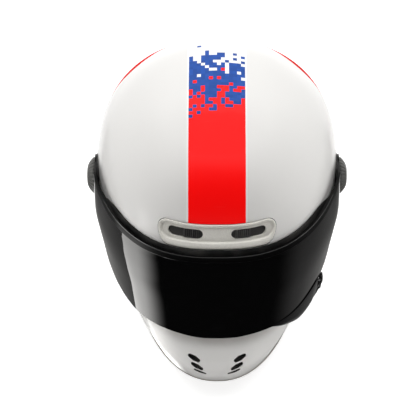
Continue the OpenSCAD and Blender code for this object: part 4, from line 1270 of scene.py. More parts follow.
    def build_gasket(self) -> None:
        """Makes the rubber band round the eyeport, laid out flat and wrapped over the shell."""
        a = PORT.half_angle
        port = PORT.angles((16, 5), (4, 3, 2, 1.2, 0.5, 0), 2.0)
        side = lerp(PORT.head(a), PORT.bottom(a), np.linspace(0, 1, 10)[1:-1])
        t = np.concatenate([PORT.head(port), side, PORT.bottom(port[::-1]), side[::-1]])
        u = np.concatenate([port, 0 * side + a, port[::-1], 0 * side - a])
        flat = np.stack([t * self.flat_t, u * self.flat_u], 1)
        ahead = np.roll(flat, -1, 0) - np.roll(flat, 1, 0)
        way = np.stack([ahead[:, 1], -ahead[:, 0]], 1)
        for _ in range(3):
            way = way / np.linalg.norm(way, axis=1, keepdims=True)
            way = np.roll(way, 1, 0) + 2 * way + np.roll(way, -1, 0)
        way /= np.linalg.norm(way, axis=1, keepdims=True)
        top = self.gasket_h
        section = [(-1.2, 0.65), (-1.3, 1.4), (-0.9, top - 0.35), (0.4, top), (2.6, top), (3.6, top - 0.25),
                   (4.6, top - 0.3), (5.6, top - 0.45), (7.0, 1.55), (7.9, 1.0), (8.0, 0.65), (3.5, 0.6)]
        lines = ((flat + way * by, off) for by, off in section)
        rings = [SHELL.skin(line[:, 0] / self.flat_t, line[:, 1] / self.flat_u, off) for line, off in lines]
        self.shop.piece("eyeport_gasket_rubber", ring_tube(np.stack(rings, 1), wrap=True), Finishes.rubber,
                        slot="rubber", node="eyeport_gasket")

    def build(self) -> None:
        """Makes every piece of the shell."""
        self.build_shell()
        self.build_trim()
        self.build_gasket()


@dataclass
class Visor:
    """The smoke visor with its ears and raised band, and a painted highlight strip along its upper edge."""

    shop: Workshop
    gap: float = 3.2
    thick: float = 2.2
    low_z: float = 82.0
    top_z: float = 176.5
    band_h: float = 6.0
    band_t: float = 1.4
    ear_r: float = 22.0
    ear_x: float = 123.1
    end: float = 74.0
    columns: int = 75
    bulge: float = 5.0
    # Where the painted highlight strip along the upper edge starts, as a share of the height, and the angle where it
    # ends; the strip is only a colour.
    bead: float = 0.9925
    highlight_end: float = 60.0

    def __post_init__(self) -> None:
        """Finds the shares of the visor's edges."""
        self.low = SHELL.share_at(self.low_z)
        self.top = SHELL.share_at(self.top_z)
        self.ear_low = SHELL.share_at(PIVOT_Z - 1.1 * self.ear_r)
        self.band = 1 - self.band_h / (self.top_z - self.low_z)
        self.rows = np.concatenate([np.linspace(0, self.band - 0.012, 24), self.band + np.array([-0.006, 0, 0.006]),
                                    np.linspace(self.band + 0.012, self.bead, 6), [1.0]])

    def bottom(self, u: Points) -> Points:
        """Share of the lower edge at an angle."""
        return lerp(self.low, self.ear_low, np.clip((np.abs(u) - 52) / (self.end - 52), 0, 1) ** 1.35)

    def swollen(self, u: Points, f: Points = 0.0) -> Points:
        """How far the visor bulges over its gap, at an angle and a share of its height."""
        a = np.abs(u)
        return self.bulge * smooth((a - 12) / 26) * (1 - smooth((a - 58) / 14)) * (1 - f * f)

    def sheet(self, off: float, band: float, plane_x: float) -> Points:
        """One skin of the visor, which flattens towards the plane of its ears.

        Args:
            off: distance off the shell.
            band: how far the band is raised over it.
            plane_x: place of the wearer's left ear.

        Returns:
            The points by column, from the wearer's right ear to the left one, and row.
        """
        u, rows, r = down(-self.end, self.end, self.columns), self.rows[None, :], self.ear_r
        raised = smooth((rows - self.band + 0.008) / 0.016)
        t = lerp(self.bottom(u), self.top, rows)
        body = SHELL.skin(t, u, off + self.swollen(u, rows) + band * raised)
        from_pivot = np.hypot(body[..., 1] - PIVOT_Y, body[..., 2] - PIVOT_Z)
        flat = 1 - smooth((from_pivot - 1.2 * r) / 36)
        body[..., 0] = lerp(body[..., 0], np.sign(body[..., 0]) * plane_x, flat)
        phi = np.radians(down(0, 87, 14))
        ear = xyz(plane_x, PIVOT_Y + r * np.sin(phi), PIVOT_Z + (2 * rows - 1) * r * np.cos(phi))
        left = np.concatenate([lerp(body[-1], ear[0], np.linspace(0, 1, 9)[1:, None, None]), ear[1:]])
        return np.concatenate([left[::-1] * MIRROR, body, left])

    def build(self) -> None:
        """Makes the visor, with its band and the painted highlight strip along its upper edge as layers of their own.
        """
        outer = self.sheet(self.gap + self.thick, self.band_t, self.ear_x + self.thick)
        form = closed_sheet(outer, self.sheet(self.gap, 0.0, self.ear_x))
        band, bead = (int(np.argmin(np.abs(self.rows - place))) for place in (self.band, self.bead))
        columns, rows = outer.shape[:2]
        arms = int(columns / 2 - self.highlight_end / self.end * (self.columns // 2))
        for n, face in enumerate(form.faces):
            row = min(i % rows for i in face)
            column = face[0] // rows % columns
            # Outer faces of the strip along the upper edge take the pale finish, a painted highlight line.
            edged = row >= bead and form.layers[n] == Layer.OUTER.value and arms < column < columns - arms
            form.layers[n] = 2 if edged else 1 if row >= band else 0
        self.shop.piece("visor_smoke_screen", form, Finishes.smoke, Finishes.band_black, Finishes.edge_highlight,
                        slot="visor_smoke", node="visor", body="visor", sharp=40, bevel=0.3)


@dataclass
class Latch:
    """The latch at the visor's lower left corner, set out in the axes of its pin.

    X runs back along the visor, Y up and Z outwards.
    """

    shop: Workshop
    visor: Visor
    u: float = 54.0
    drop: float = 0.031
    lift: float = 3.4
    pin_r: float = 1.2
    barrel_r: float = 2.8
    knuckle_y: float = 5.0
    arm_w: float = 1.2
    arm_h: float = 1.6
    arm: Section = ((-16.0, -2.2), (-10.0, -0.9), (-6.0, -0.3), (-1.6, 0.0))
    angles: tuple[float, ...] = (23, 26, 29, 32, 35, 38, 42, 46, 50)
    reach: tuple[float, ...] = (0.003, 0.014, 0.022, 0.029, 0.037, 0.045, 0.053, 0.056, 0.056)
    cover: tuple[float, ...] = (0.004, 0.006, 0.008, 0.01, 0.013, 0.015, 0.018, 0.02, 0.02)
    high: tuple[float, ...] = (0.0, 0.4, 0.8, 1.2, 1.7, 2.1, 2.4, 2.6, 2.0)
    grip_x: tuple[float, ...] = (2.0, 2.7, 3.3, 3.6, 4.2, 5.0, 6.0, 7.2, 8.4, 9.6, 10.8, 11.6, 12.2)
    grip_half: Section = ((3.3, 3.3), (3.6, 5.6), (4.2, 6.4), (9.0, 6.2), (11.6, 4.8), (12.2, 3.8))
    grip_top: Section = ((2.0, 1.6), (3.6, 2.6), (5.0, 2.7), (8.0, 1.7), (12.2, -0.3))
    grip_low: Section = ((2.0, -1.6), (4.0, -1.8), (8.0, -1.9), (12.2, -1.5))

    def place(self) -> tuple[Points, Points]:
        """Axes and origin of the latch's pin."""
        off = self.visor.gap + self.lift + float(self.visor.swollen(self.u))
        return SHELL.cross_frame(self.visor.low - self.drop, self.u, off)

    def knuckle(self, half: float, middle: float) -> Form:
        """Ring round the latch's pin.

        Args:
            half: half its length along the pin.
            middle: place of its middle along the pin.

        Returns:
            The ring.
        """
        bore, r, edge = self.pin_r + 0.15, self.barrel_r, 0.4
        section = [(bore, -half), (r - edge, -half), (r, edge - half), (r, half - edge), (r - edge, half), (bore, half)]
        return turned(section, 48, wrap=True).placed(Z_ALONG_Y, np.array([0.0, middle, 0.0]))

    def housing(self) -> Form:
        """The slim dome on the visor, which thins out to the front, with two knuckles on arms."""
        low, thick = self.visor.low, self.visor.thick
        up = across(0, 1, 25)
        u = self.u - lerp(31.0, 4.0, down(0, 1, 41))
        reach, cover, high = (np.interp(u, self.angles, table) for table in (self.reach, self.cover, self.high))
        t = lerp(low - reach, low + cover, up)
        on_visor = smooth((t - low + 0.004) / 0.003)
        base = self.visor.gap + self.visor.swollen(u)
        skirt = np.maximum(lerp(0.9, thick + 0.5, smooth(up / 0.4)), on_visor * (thick + 0.5))
        over = base + skirt + high * swell(lerp(0.02, 0.98, up**0.66))
        form = closed_sheet(SHELL.skin(t, u, over), SHELL.skin(t, u, base + on_visor * (thick + 0.3)))
        w, h = self.arm_w, self.arm_h
        for y in (-self.knuckle_y, self.knuckle_y):
            arm = [[[x, y + dy, z + dz] for dy, dz in ((-w, -h), (w, -h), (w, h), (-w, h))] for x, z in self.arm]
            form.add(self.knuckle(w, y).add(ring_tube(np.array(arm))).placed(*self.place()))
        return form

    def lever(self) -> Form:
        """The lever's barrel and its curved grip, which lies along the visor's edge."""
        x = np.array(self.grip_x)[:, None]
        half, top, low = (np.interp(x, *zip(*table)) for table in (self.grip_half, self.grip_top, self.grip_low))
        over = across(-1, 1, 15)
        crown = (1 - np.abs(over) ** 4) * (top - low) * 0.35
        sheets = [xyz(x, half * over, z) for z in (lerp(low, top, 0.65) + crown, low)]
        return self.knuckle(3.5, 0.0).add(closed_sheet(*sheets)).placed(*self.place())

    def build(self) -> None:
        """Makes the latch's pieces and dresses the two that stay."""
        for name, form, node, body in (("latch_housing_slim", self.housing(), "latch_housing", "visor"),
                                       ("latch_lever_grip", self.lever(), "latch_lever", "latch_lever")):
            self.shop.piece(name, form, Finishes.gloss_black, slot="black_plastic", node=node, body=body, bevel=0.3)
        self.shop.dress(Finishes.steel, "latch_pin")
        self.shop.dress(Finishes.matt_black, "latch_catch")


@dataclass
class Hubs:
    """The base plates, the hub covers and their screws."""

    shop: Workshop
    cover_x: float = 125.6
    cover_r: float = 18.6
    cover_h: float = 8.0
    screw_r: float = 2.0
    seat: float = 1.8
    skirt: float = 0.24
    flutes: int = 26
    flute_depth: float = 0.05

    def flute(self, angles: Points, z: float) -> Points:
        """Share of the cover's radius that its flutes leave at a height."""
        deep = self.flute_depth * (1 - smooth((z - 4.4) / 2.2)) * (0.25 if z < 0.3 else 1.0)
        return 1 - deep * np.abs(np.cos(self.flutes * angles / 2)) ** 6

    def cover(self) -> Form:
        """Hub cover on the wearer's left, fluted round its rim."""
        bore, r, h = self.screw_r + FIT, self.cover_r, self.cover_h
        eye = 2.3 * self.screw_r + FIT
        arc = [(lerp(r, eye + 1, k), lerp(1.6, h, 1 - (1 - k) ** 2.2)) for k in np.linspace(0, 0.97, 14)]
        section = [(bore, 0), (r - 1.4, 0), (r - 1.2, -self.skirt), (r, -self.skirt), *arc, (eye + 0.8, h),
                   (eye + 0.2, h - 0.1), (eye, h - 0.5), (eye, h - self.seat), (bore, h - self.seat)]
        return turned(section, 336, wrap=True, radius=self.flute)

    def build(self) -> None:
        """Makes the hubs' pieces."""
        for side in Side:
            self.shop.piece(f"hub_cover_fluted_{side.label}", self.cover().at_pivot(self.cover_x).on(side),
                            Finishes.hub_grey, slot="hub_grey", node=f"hub_cover_{side.label}", sharp=38)
            self.shop.dress(Finishes.matt_black, f"pivot_base_{side.label}")
        self.shop.dress(Finishes.dark_steel, "hub_screws")
        self.shop.dress(Finishes.steel, "base_screws")


@dataclass
class ForeheadVent:
    """The frame of the forehead vent, its tray and its two sliders."""

    shop: Workshop
    lip: float = 1.3
    floor: float = -1.4
    under: float = -4.3
    plate_top: float = -4.8
    plate_low: float = -6.0
    grip_in: float = 5.0
    grip_l: float = 14.0
    grip_end: float = 0.8
    ribs: int = 7

    def frame(self) -> Form:
        """The frame without its windows."""
        rows = [(0.3, self.under), (0.0, self.under + 0.3), (0.0, -0.4), (0.0, 0.3), (0.15, 0.9), (0.5, 1.2),
                (1.0, self.lip), (1.5, 1.1), (1.9, 0.6), (2.15, 0.0), (2.35, -0.7), (2.7, -1.15),
                *((inset, self.floor) for inset in (3.3, 4.3, 6.0, 8.0))]
        return slot_tube(VENT.rings((VENT.rim(inset, 160, inset < 1.2), off) for inset, off in rows))

    def window_cutter(self) -> Form:
        """Cutter for the wearer's left window."""
        half = VENT.window_l / 2
        ring = VENT.outline(half, VENT.window_h / 2, 64, VENT.window_in + half)
        return ring_tube(VENT.rings((ring, off) for off in (-7.0, 3.0)))

    def slider(self) -> Form:
        """Slider of the wearer's left window: a plate under the frame and a ribbed grip."""
        half = VENT.window_h / 2
        a = down(VENT.window_in + 1.5, VENT.window_in + VENT.window_l - 1.0, 30)
        b = across(-half - 1.3, half + 1.3, 7)
        plate = closed_sheet(VENT.at(a, b, self.plate_top), VENT.at(a, b, self.plate_low))
        start = VENT.window_in + self.grip_in
        end = start + self.grip_l
        block = down(start - self.grip_end, end + self.grip_end, 57)
        phase = (block - start) / self.grip_l * self.ribs
        wave = np.clip(0.7 * np.sin(2 * np.pi * (phase - 0.25)) + 0.5, 0, 1)
        tops = np.where((block > start - 0.1) & (block < end + 0.1), 1.3 * wave - 2.2, -2.0)
        tops[0] = tops[-1] = -2.9
        rows = across(0.5 - half, half - 0.5, 11)
        edge = np.where(np.abs(rows) > 3.9, -0.55, 0.0)
        return plate.add(closed_sheet(VENT.at(block, rows, tops + edge), VENT.at(block, rows, -5.0)))

    def build(self) -> None:
        """Makes the vent's pieces."""
        obj = self.shop.piece("vent_frame_lip", self.frame(), Finishes.vent_grey, slot="vent_grey", node="vent_frame",
                              sharp=60)
        cutter = self.window_cutter()
        carve(obj, [cutter, cutter.mirrored()], agree=0.8)
        for side in Side:
            self.shop.piece(f"vent_slider_ribbed_{side.label}", self.slider().on(side), Finishes.slider_grey,
                            slot="matt_plastic", node=f"vent_slider_{side.label}",
                            body=f"slider_{side.label}", sharp=40)
        self.shop.dress(Finishes.matt_black, "vent_duct")


@dataclass
class ChinVents:
    """The louvred plates behind the chin slots, the breath guard and the chin curtain."""

    shop: Workshop
    shell: Shell
    plate_z: tuple[float, float] = (44.4, 69.4)
    plate_x: tuple[float, float] = (8.0, 37.7)
    plate_out: float = -5.6
    plate_in: float = -6.8
    blade: float = 1.3
    guard_depth: float = 26.4
    guard_t: float = 2.0
    curtain_depth: float = 40.0
    curtain_angle: float = 44.0

    def plate(self) -> Form:
        """Plate behind the wearer's left slots, with a blade along each slot."""
        x = down(*self.plate_x, 67)
        t = across(*(SHELL.share_at(z) for z in self.plate_z), 61)
        u = SHELL.angle_at(t, x)
        skin = SHELL.skin(t, u)
        c, s = math.cos(math.radians(self.shell.slot_slant)), math.sin(math.radians(self.shell.slot_slant))
        blades = []
        for k in range(self.shell.slots):
            axes, origin = self.shell.slot_place(k)
            flat = (skin - origin) @ axes
            aside = flat[..., 1] * c - flat[..., 0] * s
            along = np.abs(flat[..., 0] * c + flat[..., 1] * s)
            blades.append(smooth(1.6 - np.abs(aside + 0.2) / 0.9) * smooth((8.2 - along) / 1.5))
        raised = self.plate_out + self.blade * np.max(blades, axis=0)
        return closed_sheet(SHELL.skin(t, u, raised), SHELL.skin(t, u, self.plate_in))

    def guard(self) -> Form:
        """The rubber flap in front of the wearer's mouth."""
        u = down(-40, 40, 61)
        rise = lerp(0.045, 0.012, smooth((np.abs(u) - 12) / 28))
        t = lerp(lerp(0.055, PORT.low - 0.03, 0.6), PORT.low + rise, across(0, 1, 25))
        return closed_sheet(*(SHELL.inward(t, u, self.guard_depth + by) for by in (0.0, self.guard_t)))

    def curtain(self) -> tuple[Form, float, float]:
        """The cloth across the chin's opening.

        Returns:
            The form, the length of its sewn edge and its area, in millimetres.
        """
        u, k = down(-self.curtain_angle, self.curtain_angle, 73), across(0, 1, 25)
        edge = SHELL.skin(0.02 + 0 * k, u, -SHELL.wall - FIT - 2.3)
        inward = np.cos(np.radians(2 * u))
        sag = 1.2 * np.sin(np.pi * k) * inward * (1 + 0.35 * np.sin(np.radians(16 * u)))
        hem = 0.5 * smooth((k - 0.86) / 0.03) * smooth((0.985 - k) / 0.02)
        middle = xyz(edge[..., 0] * (1 - 0.2 * k), edge[..., 1] + self.curtain_depth * np.sqrt(inward) * k,
                     edge[..., 2] + 2 * k + 0.7 + sag)
        cells = np.cross(middle[1:, :-1] - middle[:-1, :-1], middle[:-1, 1:] - middle[:-1, :-1])
        length = float(np.linalg.norm(np.diff(middle[:, 0], axis=0), axis=-1).sum())
        thick = (0.6 + hem)[..., None] * UP
        return closed_sheet(middle + thick, middle - thick), length, float(np.linalg.norm(cells, axis=-1).sum())

    def build(self) -> None:
        """Makes the chin's small pieces."""
        for side in Side:
            self.shop.piece(f"chin_louvre_{side.label}", self.plate().on(side), Finishes.grille_grey,
                            slot="matt_plastic", node=f"chin_grille_{side.label}")
        self.shop.piece("breath_guard_flap", self.guard(), Finishes.rubber, slot="rubber", node="breath_guard",
                        bevel=0.6)
        form, length, area = self.curtain()
        cloth = self.shop.piece("chin_curtain_cloth", form, Finishes.curtain, slot="curtain_cloth", node="chin_curtain",
                                sharp=60)
        flat = (length * MM, self.curtain_depth * MM)
        min(area * MM * MM, flat[0] * flat[1])


@dataclass
class Padding:
    """The foam and the cushions inside the shell."""

    shop: Workshop
    centre: tuple[float, float, float] = (0.0, 22.0, 130.0)
    half: tuple[float, float, float] = (79.0, 101.0, 88.0)
    pad: float = 9.0
    channel: float = 3.0
    gap: float = 5.1
    vent_depth: float = 11.0
    cheek_x: float = 64.0
    cheek_u: tuple[float, float] = (68.0, 120.0)
    cheek_t: tuple[float, float] = (0.05, 0.3)
    roll_u: tuple[float, float] = (126.0, 234.0)
    roll_t: tuple[float, float] = (0.045, 0.155)
    chin_depth: float = 26.0
    chin_u: float = 56.0
    edge: float = 66.0
    cell: float = 4.0
    puff: float = 4.0
    held: tuple[float, float] = (92.07, 132.3)
    frames: int = 20

    def __post_init__(self) -> None:
        """Finds the shares of the brow and of the pocket for the vent."""
        self.brow = PORT.top + 0.016
        self.pocket_top = VENT.t + 0.75 * VENT.height / VENT.scale + 0.012
        self.pocket_u = float(SHELL.angle_at(VENT.t, VENT.width / 2 + 4))

    def cavity(self, p: Points, grow: Points) -> Points:
        """Point of the head space grown by a distance, in the direction of a point."""
        d = p - self.centre
        scaled = d / (np.array(self.half) + np.asarray(grow)[..., None])
        dome = d / np.linalg.norm(scaled, axis=-1, keepdims=True)
        k = 1 / np.maximum(np.hypot(scaled[..., 0], scaled[..., 1]), 1e-6)
        return self.centre + np.where(d[..., 2:] > 0, dome, xyz(d[..., 0] * k, d[..., 1] * k, d[..., 2]))

    def angles(self, step: float) -> tuple[Points, Points, int]:
        """Angles all round, how far each lies from the front, and how many cells of them lie over the eyeport."""
        pocket = (-self.pocket_u - 1, -self.pocket_u, self.pocket_u, self.pocket_u + 1)
        front = spread(-self.edge, *pocket, self.edge, step=step)
        u = np.concatenate([front, spread(self.edge, 360 - self.edge, step=step)[1:-1]])[:, None]
        return u, np.where(u > 180, 360 - u, np.abs(u)), len(front) - 1

    def liner(self) -> Form:
        """The foam round the head."""
        u, a, front = self.angles(4.0)
        low = lerp(0.33, 0.2, smooth((a - 126) / 30))
        brow = np.array([self.brow, lerp(self.brow, self.pocket_top, 0.5), self.pocket_top])
        below, above = np.linspace(0, 1, 9)[:-1], np.linspace(0, 1, 21)[1:]
        t = np.concatenate([lerp(low, self.brow, below), brow + 0 * low,
                            lerp(self.pocket_top, 1.0, above) + 0 * low], 1)
        pocket = (a < self.pocket_u + 0.5) & (t < self.pocket_top + 0.001)
        outer = SHELL.skin(t, u, np.where(pocket, -self.vent_depth, -self.gap))
        return closed_sheet(outer, self.cavity(SHELL.point(t, u), self.pad), lambda j, i: j >= front or i >= len(below),
                            wrap=True, apex=True)

    def chin(self) -> Form:
        """The foam of the chin bar."""
        u, top = down(-self.chin_u, self.chin_u, 57), PORT.low
        t = np.concatenate([np.linspace(0.055, top - 0.03, 26), [top - 0.016, top - 0.004]])[None, :]
        hollow = smooth((25.5 - np.abs(u)) / 2.0) * smooth((t - 0.088) / 0.008) * smooth((top - 0.022 - t) / 0.008)
        return closed_sheet(SHELL.skin(t, u, -self.gap - 0.3 - 3.3 * hollow), SHELL.inward(t, u, self.chin_depth))

    def crown(self) -> Form:
        """The quilted lining of the crown."""
        u, a, _ = self.angles(3.0)
        low = np.where(a <= self.edge, self.brow + 0.02, lerp(0.37, 0.25, smooth((a - 126) / 30)))
        k = across(0, 1, 49)
        p = SHELL.point(lerp(low, 1.0, k), u)
        groove = ridge(np.mod(u + 18, 36), 18, 2.6) * smooth((1 - k) / 0.12)
        seams = 0.8 * (ridge(k, 0.34, 0.014) + ridge(k, 0.68, 0.014))
        depth = self.channel * np.maximum(np.maximum(groove, seams), 2 * (1 - smooth(k / 0.05)))
        return closed_sheet(self.cavity(p, self.pad - 1.1), self.cavity(p, np.minimum(depth, self.pad - 3)), wrap=True,
                            apex=True)

    def cheek(self) -> Form:
        """Cushion of the wearer's left cheek, before its cloth is filled."""
        j, i = down(0, 1, 40), across(0, 1, 30)
        u, t = lerp(*self.cheek_u, j), lerp(*self.cheek_t, i)
        dip = smooth((13 - np.abs(u - 90)) / 3) * smooth((0.215 - t) / 0.02)
        front = smooth((80 - u) / 4) * smooth((t - 0.13) / 0.03)
        back = SHELL.skin(t, u, -SHELL.wall - 1.3 - 9.0 * dip - 0.6 * front)
        x, y, z = np.moveaxis(SHELL.skin(t, u, -self.gap - 11), -1, 0)
        k = swell(j) * swell(i)
        face = xyz(lerp(x, self.cheek_x + self.channel * ridge(i, 0.67, 0.035), k), lerp(y, 0.85 * y + 3, k), z)
        return closed_sheet(back, face)

    def roll(self) -> Form:
        """The cushion behind the neck, before its cloth is filled."""
        j, i = down(0, 1, 61), across(0, 1, 17)
        u, t = lerp(*self.roll_u, j), lerp(*self.roll_t, i)
        return closed_sheet(SHELL.skin(t, u, -self.gap), SHELL.skin(t, u, -self.gap - 6 - 22 * swell(i) * swell(j)))

    def fill(self, obj: bpy.types.Object) -> None:
        """Fills a cushion's cloth with air where it faces the wearer, and lets it settle by puff at most."""
        remesh = obj.modifiers.new("cells", "REMESH")
        remesh.mode, remesh.voxel_size = "VOXEL", self.cell * MM
        settle(obj)
        start = np.array([v.co for v in obj.data.vertices]) / MM
        held = np.hypot(start[:, 0] / self.held[0], (start[:, 1] - self.centre[1]) / self.held[1]) > 1
        pins = obj.vertex_groups.new(name="held")
        pins.add([int(n) for n in np.flatnonzero(held)], 1.0, "REPLACE")
        cloth = obj.modifiers.new("cloth", "CLOTH")
        cloth.settings.use_pressure, cloth.settings.uniform_pressure_force = True, 4.0
        cloth.settings.vertex_group_mass = "held"
        cloth.settings.effector_weights.gravity = 0.0
        cloth.settings.shrink_min = -0.02
        cloth.point_cache.frame_end = self.frames
        for step in range(1, self.frames + 1):
            bpy.context.scene.frame_set(step)
        settle(obj)
        bpy.context.scene.frame_set(1)
        moved = np.array([v.co for v in obj.data.vertices]) / MM - start
        far = np.linalg.norm(moved, axis=1, keepdims=True)
        moved *= np.minimum(1.0, self.puff / np.maximum(far, 1e-6))
        moved[held] = 0.0
        for vertex, place in zip(obj.data.vertices, start + moved):
            vertex.co = Vector(place * MM)
        soften = obj.modifiers.new("soften", "SUBSURF")
        soften.levels = soften.render_levels = 1
        settle(obj)

    def build(self) -> None:
        """Makes the foam and the cushions."""
        self.shop.piece("liner_foam_shell", self.liner(), Finishes.foam, slot="foam", node="eps_liner")
        self.shop.piece("chin_foam_block", self.chin(), Finishes.foam, slot="foam", node="chin_eps")
        crown = self.shop.piece("crown_lining_quilted", self.crown(), Finishes.lining, Finishes.face_cloth,
                                Finishes.piping, slot="lining", node="crown_pad", sharp=70)
        cushions = [(f"cheek_cushion_{side.label}", self.cheek().on(side), f"cheek_pad_{side.label}", 0.7)
                    for side in Side]
        for name, form, node, filled in (*cushions, ("neck_roll_cushion", self.roll(), "neck_roll", 0.6)):
            cushion = self.shop.piece(name, form, Finishes.lining, slot="lining", node=node, sharp=180)
            self.fill(cushion)


@dataclass
class ChinStrap:
    """The webbing of the chin strap, its rivets and its two rings."""

    shop: Workshop
    width: float = 24.0
    thick: float = 2.2
    ring_x: float = 16.0
    ring_low: float = 4.8
    ring_high: float = 9.0
    wire: float = 2.0
    fold: float = 3.4
    lie_z: float = 1.55
    thread_l: float = 2.2
    thread_step: float = 3.2
    thread_r: float = 0.28
    edge_at: tuple[float, ...] = (-1, -0.985, -0.9, -0.87, -0.5, 0, 0.5, 0.87, 0.9, 0.985, 1)
    edge_thick: tuple[float, ...] = (0.55, 0.9, 0.95, 0.8, 0.86, 0.88, 0.86, 0.8, 0.95, 0.9, 0.55)

    def __post_init__(self) -> None:
        """Finds the strap's place and how far out it drops."""
        self.y = float(SHELL.point(0.1, 90.0)[1])
        self.drop = float(SHELL.skin(0.0, 90.0, -SHELL.wall - FIT - 2)[0]) - 6.5

    def high(self, t: float) -> Points:
        """Point of the strap along the shell, as X and Z."""
        return SHELL.skin(t, 90.0, -SHELL.wall - self.thick / 2 - 1.5)[[0, 2]]

    def path(self, folded: bool) -> Points:
        """The middle line of the webbing, as X and Z.

        Args:
            folded: whether its free end is folded back, as on the wearer's right.

        Returns:
            The points of the line.
        """
        z, end = self.lie_z, 0.35 * self.drop if folded else self.ring_x + 2.5
        top = lerp(self.high(0.13), self.high(0.08), down(0, 1, 5))
        a, b, c, d = np.array([[self.high(0.05)[0] - 2, 26.0], [self.drop, 14.0], [self.drop, z],
                               [0.75 * self.drop, z]])
        s = down(0, 1, 22)
        hook = (1 - s) ** 3 * a + 3 * (1 - s) ** 2 * s * b + 3 * (1 - s) * s**2 * c + s**3 * d
        flat = np.stack([np.linspace(0.75 * self.drop, end, 18)[1:], np.full(17, z)], 1)
        if not folded:
            return np.concatenate([top, hook, flat])
        g = np.radians(np.linspace(0, 180, 15)[1:])
        bend = np.stack([end - self.fold * np.sin(g), z + self.fold * (1 - np.cos(g))], 1)
        over = z + 2 * self.fold
        a, b, c = np.array([[end, over], [0.62 * self.drop, over + 0.6], [0.82 * self.drop, over + 2.4]])
        k = down(0, 1, 16)[1:]
        return np.concatenate([top, hook, flat, bend, (1 - k) ** 2 * a + 2 * (1 - k) * k * b + k**2 * c])

    def webbing(self, line: Points) -> Form:
        """Strip of webbing along a line, with a woven edge on each side."""
        ahead = np.gradient(line, axis=0)
        ahead /= np.linalg.norm(ahead, axis=1, keepdims=True)
        x, z, to_x, to_z = (values[:, None] for values in (*line.T, -ahead[:, 1], ahead[:, 0]))
        y = self.y + np.array(self.edge_at) * self.width / 2
        thick = np.array(self.edge_thick) * self.thick / 2
        return closed_sheet(*(xyz(x + sign * thick * to_x, y, z + sign * thick * to_z) for sign in (1, -1)))

    def eye(self) -> Form:
        """The loop of webbing round the straight sides of both rings."""
        upper, lower = np.radians(np.linspace(0, 180, 17)), np.radians(np.linspace(180, 360, 17))
        angles = np.concatenate([upper, lower])
        middle = np.repeat([self.ring_high, self.ring_low], len(upper))
        inner, outer = self.wire + 0.05, self.wire + 0.15 + self.thick
        half = self.width / 2
        tube = [xyz(self.ring_x + r * np.cos(angles), self.y + y, middle + r * np.sin(angles))
                for r, y in ((inner, -half), (outer, -half), (outer, half), (inner, half))]
        return ring_tube(np.stack(tube), wrap=True)

    def stitches(self, line: Points, start: float, end: float, rows: Sequence[float], side: float) -> Form:
        """Short threads along a line.

        Args:
            line: the middle line that they follow.
            start: distance along it of the first thread, or back from its end where below 0.
            end: distance along it of the last one, counted as the first.
            rows: places across the webbing, in millimetres.
            side: which face they lie on, 1 or -1.

        Returns:
            The threads.
        """
        reach = np.concatenate([[0], np.cumsum(np.linalg.norm(np.diff(line, axis=0), axis=1))])
        if start < 0:
            start, end = reach[-1] + start, reach[-1] + end
        form = Form()
        ring = circle(6)
        lift = np.array([0.72, 1.0, 1.0, 0.72])[:, None] * self.thick / 2
        for row in rows:
            for s in np.arange(start, end, self.thread_step):
                spots = np.linspace(s, s + self.thread_l, len(lift))
                middle = np.stack([np.interp(spots, reach, line[:, k]) for k in (0, 1)], 1)
                ahead = middle[-1] - middle[0]
                ahead /= np.linalg.norm(ahead)
                out = np.array([-ahead[1], ahead[0]]) * side
                x, z = (middle + out * lift).T[:, :, None]
                rise = self.thread_r * np.sin(ring)
                tube = xyz(x + rise * out[0], self.y + row + self.thread_r * np.cos(ring), z + rise * out[1])
                form.add(ring_tube(tube))
        return form

    def build(self) -> None:
        """Makes the straps and dresses the steel pieces."""
        left, right = self.path(False), self.path(True)
        strip = self.webbing(left).add(self.eye()).add(self.stitches(left, -34.0, -12.0, (-9, -5, 0, 5, 9), -1))
        other = self.webbing(right).add(self.stitches(right, 10.0, 26.0, (-9, -4, 4, 9), 1))
        for side, form in ((Side.LEFT, strip), (Side.RIGHT, other)):
            self.shop.piece(f"strap_webbing_{side.label}", form.on(side), Finishes.webbing, slot="webbing",
                            node=f"strap_{side.label}")
        self.shop.dress(Finishes.steel, "strap_rivets", "ring_lower", "ring_upper")


@dataclass
class Outlets:
    """The covers over the outlets at the rear."""

    shop: Workshop
    shell: Shell
    spread_u: float = 18.0
    below: float = 0.035
    height: float = 0.075

    def cover(self) -> Form:
        """Cover of the wearer's left outlet, with three louvres."""
        j, i = down(0, 1, 33), across(0, 1, 41)
        u = self.shell.exhaust_u + self.spread_u * (j - 0.5)
        t = self.shell.exhaust_t - self.below + self.height * i
        louvre = sum(ridge(i, place, 0.022) for place in (0.32, 0.5, 0.68)) * smooth((0.42 - np.abs(j - 0.5)) / 0.04)
        rise = 1 + 3.9 * swell(j) * swell(lerp(0.25, 1.0, i)) - 1.1 * louvre
        return closed_sheet(SHELL.skin(t, u, np.maximum(rise, 0.8)), SHELL.skin(t, u, 0.3))

    def build(self) -> None:
        """Makes the covers."""
        for side in Side:
            self.shop.piece(f"outlet_cover_{side.label}", self.cover().on(side), Finishes.matt_black,
                            slot="matt_plastic", node=f"exhaust_cover_{side.label}", sharp=60)


